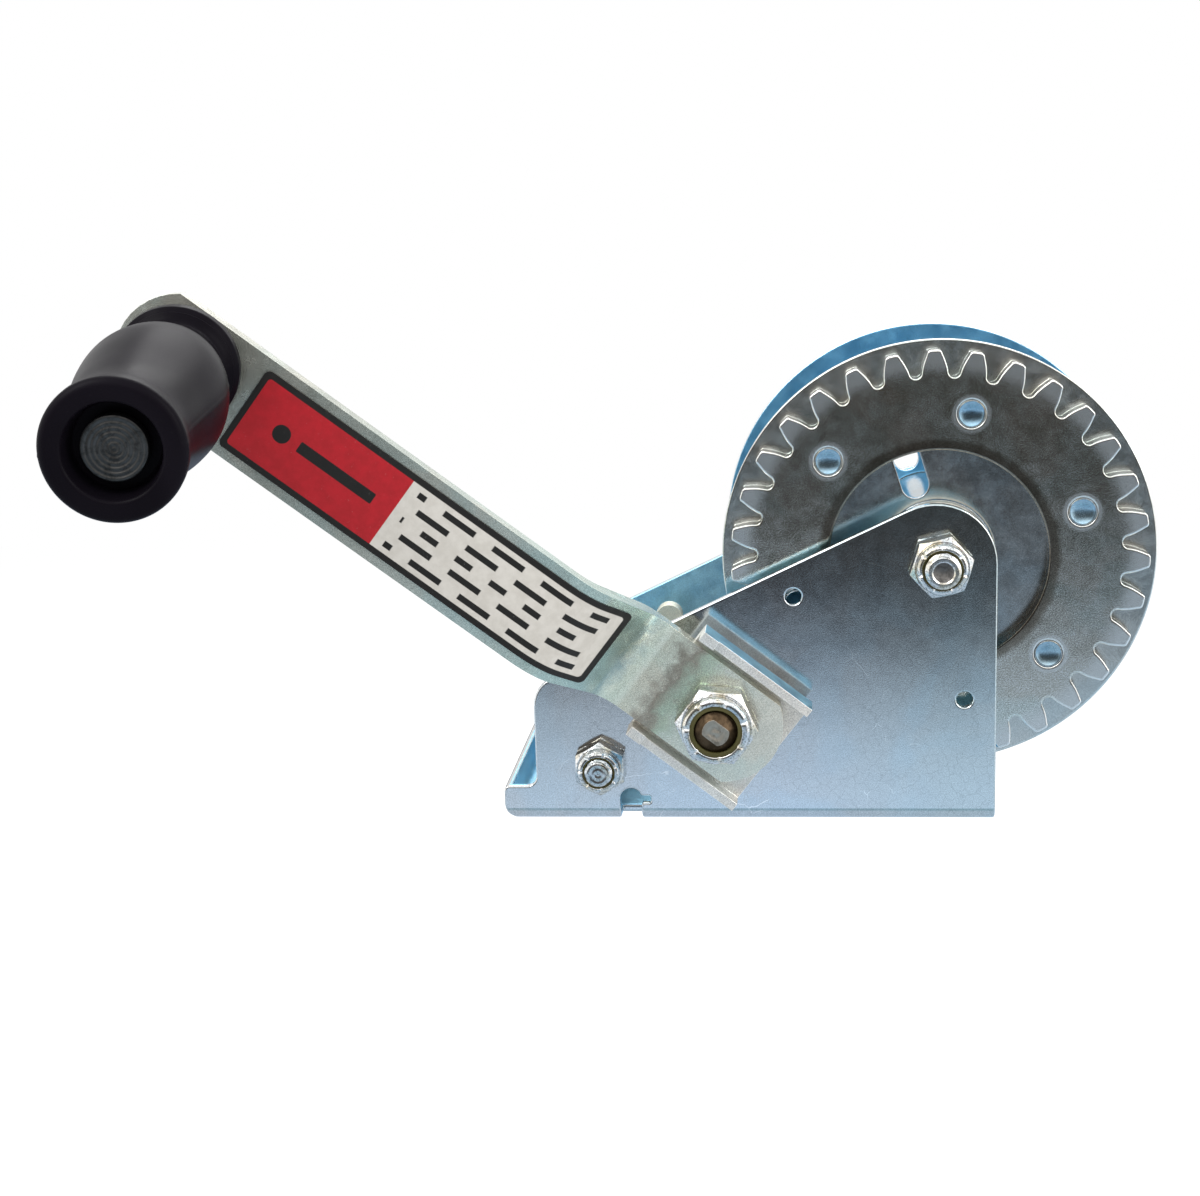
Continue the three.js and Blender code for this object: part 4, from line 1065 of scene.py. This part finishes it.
def make_grip_pin():
    """The pin that holds the grip: riveted behind the arm, shouldered, with turned rings on its head."""
    head_end, back, _, _ = node_span("grip_pin", GRIP_PLACE)
    grip_end, grip_start, bore, _ = node_span("grip", GRIP_PLACE)
    stem = bore - 0.1
    face = [
        (r, head_end + 0.09 * (1 - math.cos(r * 2 * math.pi / RING_PITCH))) for r in np.linspace(0, 6.9, 61)
    ]
    body = rounded([
        (7.0, head_end), (7.6, head_end, 0.45), (7.6, grip_end + 6.4, 0.3), (stem, grip_end + 6.4),
        (stem, grip_start + 0.8), (9, grip_start + 0.8, 0.3), (9, grip_start + 2.8, 0.3),
        (stem - 1, grip_start + 2.8), (stem - 1, back - 2.4), (7.5, back - 2.4, 0.3),
        (7.5, back - 1.2, 0.6), (5.5, back, 1.2), (0, back),
    ], 4, closed=False)
    add_piece("grip_pin", lathe(face + body, 96), PIN_STEEL, GRIP_PLACE)


# ---- pawl ----

WIRE = 0.8
COIL_RADIUS = 7.6
COIL_FRONT = 8.0
COIL_PITCH = 2.1
COIL_TURNS = 3.25
COIL_STEPS = 120


def make_pawl():
    add_piece("pawl", cad_shape("pawl", 0.6), PAWL_ZINC)


def make_pawl_spring():
    """A torsion spring round the cross spacer: one leg lies on the base, the other is behind the pawl."""
    floor = node_points("frame")[:, 2].min() + SHEET
    path = [(PAWL.x - 22, COIL_FRONT, floor + WIRE + 0.3), (PAWL.x - 10, COIL_FRONT, floor + WIRE + 1.2)]
    for i in range(COIL_STEPS + 1):
        turned = COIL_TURNS * i / COIL_STEPS
        angle = -math.pi / 2 - 2 * math.pi * turned
        path.append((
            PAWL.x + COIL_RADIUS * math.cos(angle),
            COIL_FRONT + COIL_PITCH * turned,
            PAWL.z + COIL_RADIUS * math.sin(angle),
        ))
    x, y, z = path[-1]
    path += [(x + 1, y + 0.6, z + 10), (x + 9, y + 0.8, z + 24)]
    curve = bpy.data.curves.new("spring", "CURVE")
    curve.dimensions = "3D"
    curve.bevel_depth = WIRE
    curve.bevel_resolution = 4
    curve.use_fill_caps = True
    spline = curve.splines.new("NURBS")
    spline.points.add(len(path) - 1)
    for target, place in zip(spline.points, path):
        target.co = (*place, 1)
    spline.use_endpoint_u = True
    spline.order_u = 3
    spline.resolution_u = 3
    add_piece("pawl_spring", curve_shape(curve), SPRING_STEEL, sharp=50)


for make in (
    make_frame, make_gears, make_drum, make_fasteners, make_drive, make_label,
    make_grip, make_grip_pin, make_pawl, make_pawl_spring,
):
    make()


# ---- stage, light and camera ----

FLOOR_HALF = 6.0
FLOOR_GAP = 0.03


def make_floor():
    """A plain pale floor below everything that the crank sweeps, fading to the white of the backdrop."""
    height = (DRIVE.z - (GRIP - DRIVE).length) * MM - FLOOR_GAP
    mesh = bpy.data.meshes.new("floor")
    corners = [(-1, -1), (1, -1), (1, 1), (-1, 1)]
    mesh.from_pydata([(x * FLOOR_HALF, y * FLOOR_HALF, height) for x, y in corners], [], [(0, 1, 2, 3)])
    floor = bpy.data.objects.new("floor", mesh)
    bpy.context.scene.collection.objects.link(floor)
    material, g = new_material("floor")
    tone = g.mix(g.noise(400, 2, 0.5), (0.88, 0.88, 0.88), (0.91, 0.91, 0.91))
    diffuse = g.add("ShaderNodeBsdfDiffuse", {"Color": tone})
    white = g.add("ShaderNodeEmission", {"Color": (1, 1, 1, 1), "Strength": 1.0})
    away = g.spread(g.vector("LENGTH", g.place(), output="Value"), 0.3, 1.6, 0.25, 1.0)
    faded = g.add("ShaderNodeMixShader", {0: away, 1: diffuse, 2: white})
    output = material.node_tree.nodes.new("ShaderNodeOutputMaterial")
    material.node_tree.links.new(faded, output.inputs[0])
    mesh.materials.append(material)
    floor.visible_glossy = False


def make_world():
    """Soft studio surroundings: bright above, beside, behind and below, with a dark band to the front."""
    world = bpy.data.worlds.new("studio")
    world.use_nodes = True
    bpy.context.scene.world = world
    g = Graph(world.node_tree)
    direction = g.add("ShaderNodeTexCoord", {}, "Generated")
    height = g.add("ShaderNodeSeparateXYZ", {0: direction}, 2)
    depth = g.add("ShaderNodeSeparateXYZ", {0: direction}, 1)
    lift = g.math("ADD", g.math("MULTIPLY", height, 0.5), 0.5)
    sides = g.ramp(lift, [
        (0.0, (0.5, 0.6, 0.72)), (0.34, (0.6, 0.72, 0.84)), (0.39, (1.1, 1.15, 1.2)),
        (0.5, (1.3, 1.3, 1.3)), (0.8, (1.0, 1.0, 1.0)), (1.0, (1.2, 1.2, 1.2)),
    ])
    front = g.ramp(lift, [
        (0.0, (0.3, 0.42, 0.5)), (0.28, (0.34, 0.48, 0.58)), (0.335, (0.7, 0.87, 1.08)),
        (0.365, (0.5, 0.61, 0.72)), (0.38, (0.12, 0.13, 0.15)), (0.388, (0.045, 0.048, 0.052)),
        (0.43, (0.05, 0.048, 0.046)), (0.5, (0.075, 0.07, 0.065)), (0.6, (0.06, 0.056, 0.052)),
        (0.68, (0.6, 0.6, 0.6)), (0.76, (1.7, 1.7, 1.7)), (1.0, (1.7, 1.7, 1.7)),
    ])
    back = g.ramp(lift, [
        (0.0, (0.62, 0.74, 0.95)), (0.34, (0.62, 0.75, 0.95)), (0.38, (0.25, 0.28, 0.32)),
        (0.42, (0.1, 0.1, 0.105)), (0.455, (0.12, 0.12, 0.12)), (0.49, (0.9, 0.9, 0.9)), (1.0, (1, 1, 1)),
    ])
    surround = g.mix(g.spread(depth, -0.55, -0.85), sides, front)
    surround = g.mix(g.spread(depth, 0.55, 0.85), surround, back)
    camera_ray = g.add("ShaderNodeLightPath", {}, "Is Camera Ray")
    colour = g.mix(camera_ray, surround, (1, 1, 1))
    background = g.add("ShaderNodeBackground", {0: colour, 1: 1.0})
    output = world.node_tree.nodes.new("ShaderNodeOutputWorld")
    world.node_tree.links.new(background, output.inputs[0])


def add_light(name, place, target, size, power):
    data = bpy.data.lights.new(name, "AREA")
    data.shape = "RECTANGLE"
    data.size, data.size_y = size
    data.energy = power
    light = bpy.data.objects.new(name, data)
    bpy.context.scene.collection.objects.link(light)
    light.location = place
    light.rotation_euler = (Vector(target) - Vector(place)).to_track_quat("-Z", "Y").to_euler()


def make_lights():
    middle = (cad_low + cad_high) / 2
    add_light("key", middle + Vector((-0.7, -0.5, 0.9)), middle, (0.7, 0.7), 9)
    add_light("fill", middle + Vector((0.9, -0.3, 0.5)), middle, (0.5, 0.8), 4)
    add_light("back", middle + Vector((0.1, 0.9, 0.8)), middle, (1.0, 0.6), 6)


# The camera's place in metres, its angles in degrees and its lens in millimetres.
CAMERA_PLACE = (0.01639, -0.60307, 0.19273)
CAMERA_YAW = 5.81
CAMERA_PITCH = -12.42
CAMERA_ROLL = -1.78
CAMERA_LENS = 60.87


def make_camera():
    data = bpy.data.cameras.new("camera")
    data.lens = CAMERA_LENS
    data.sensor_width = 36
    data.clip_start = 0.01
    camera = bpy.data.objects.new("camera", data)
    bpy.context.scene.collection.objects.link(camera)
    bpy.context.scene.camera = camera
    yaw, pitch, roll = (math.radians(a) for a in (CAMERA_YAW, CAMERA_PITCH, CAMERA_ROLL))
    forward = Vector((-math.sin(yaw) * math.cos(pitch), math.cos(yaw) * math.cos(pitch), math.sin(pitch)))
    right = Vector((math.cos(yaw), math.sin(yaw), 0))
    up = right.cross(forward)
    tilted_right = right * math.cos(roll) + up * math.sin(roll)
    tilted_up = up * math.cos(roll) - right * math.sin(roll)
    turn = Matrix((tilted_right, tilted_up, -forward)).transposed().to_4x4()
    camera.matrix_world = Matrix.Translation(CAMERA_PLACE) @ turn


make_floor()
make_world()
make_lights()
make_camera()
bpy.context.scene.view_settings.view_transform = "Standard"
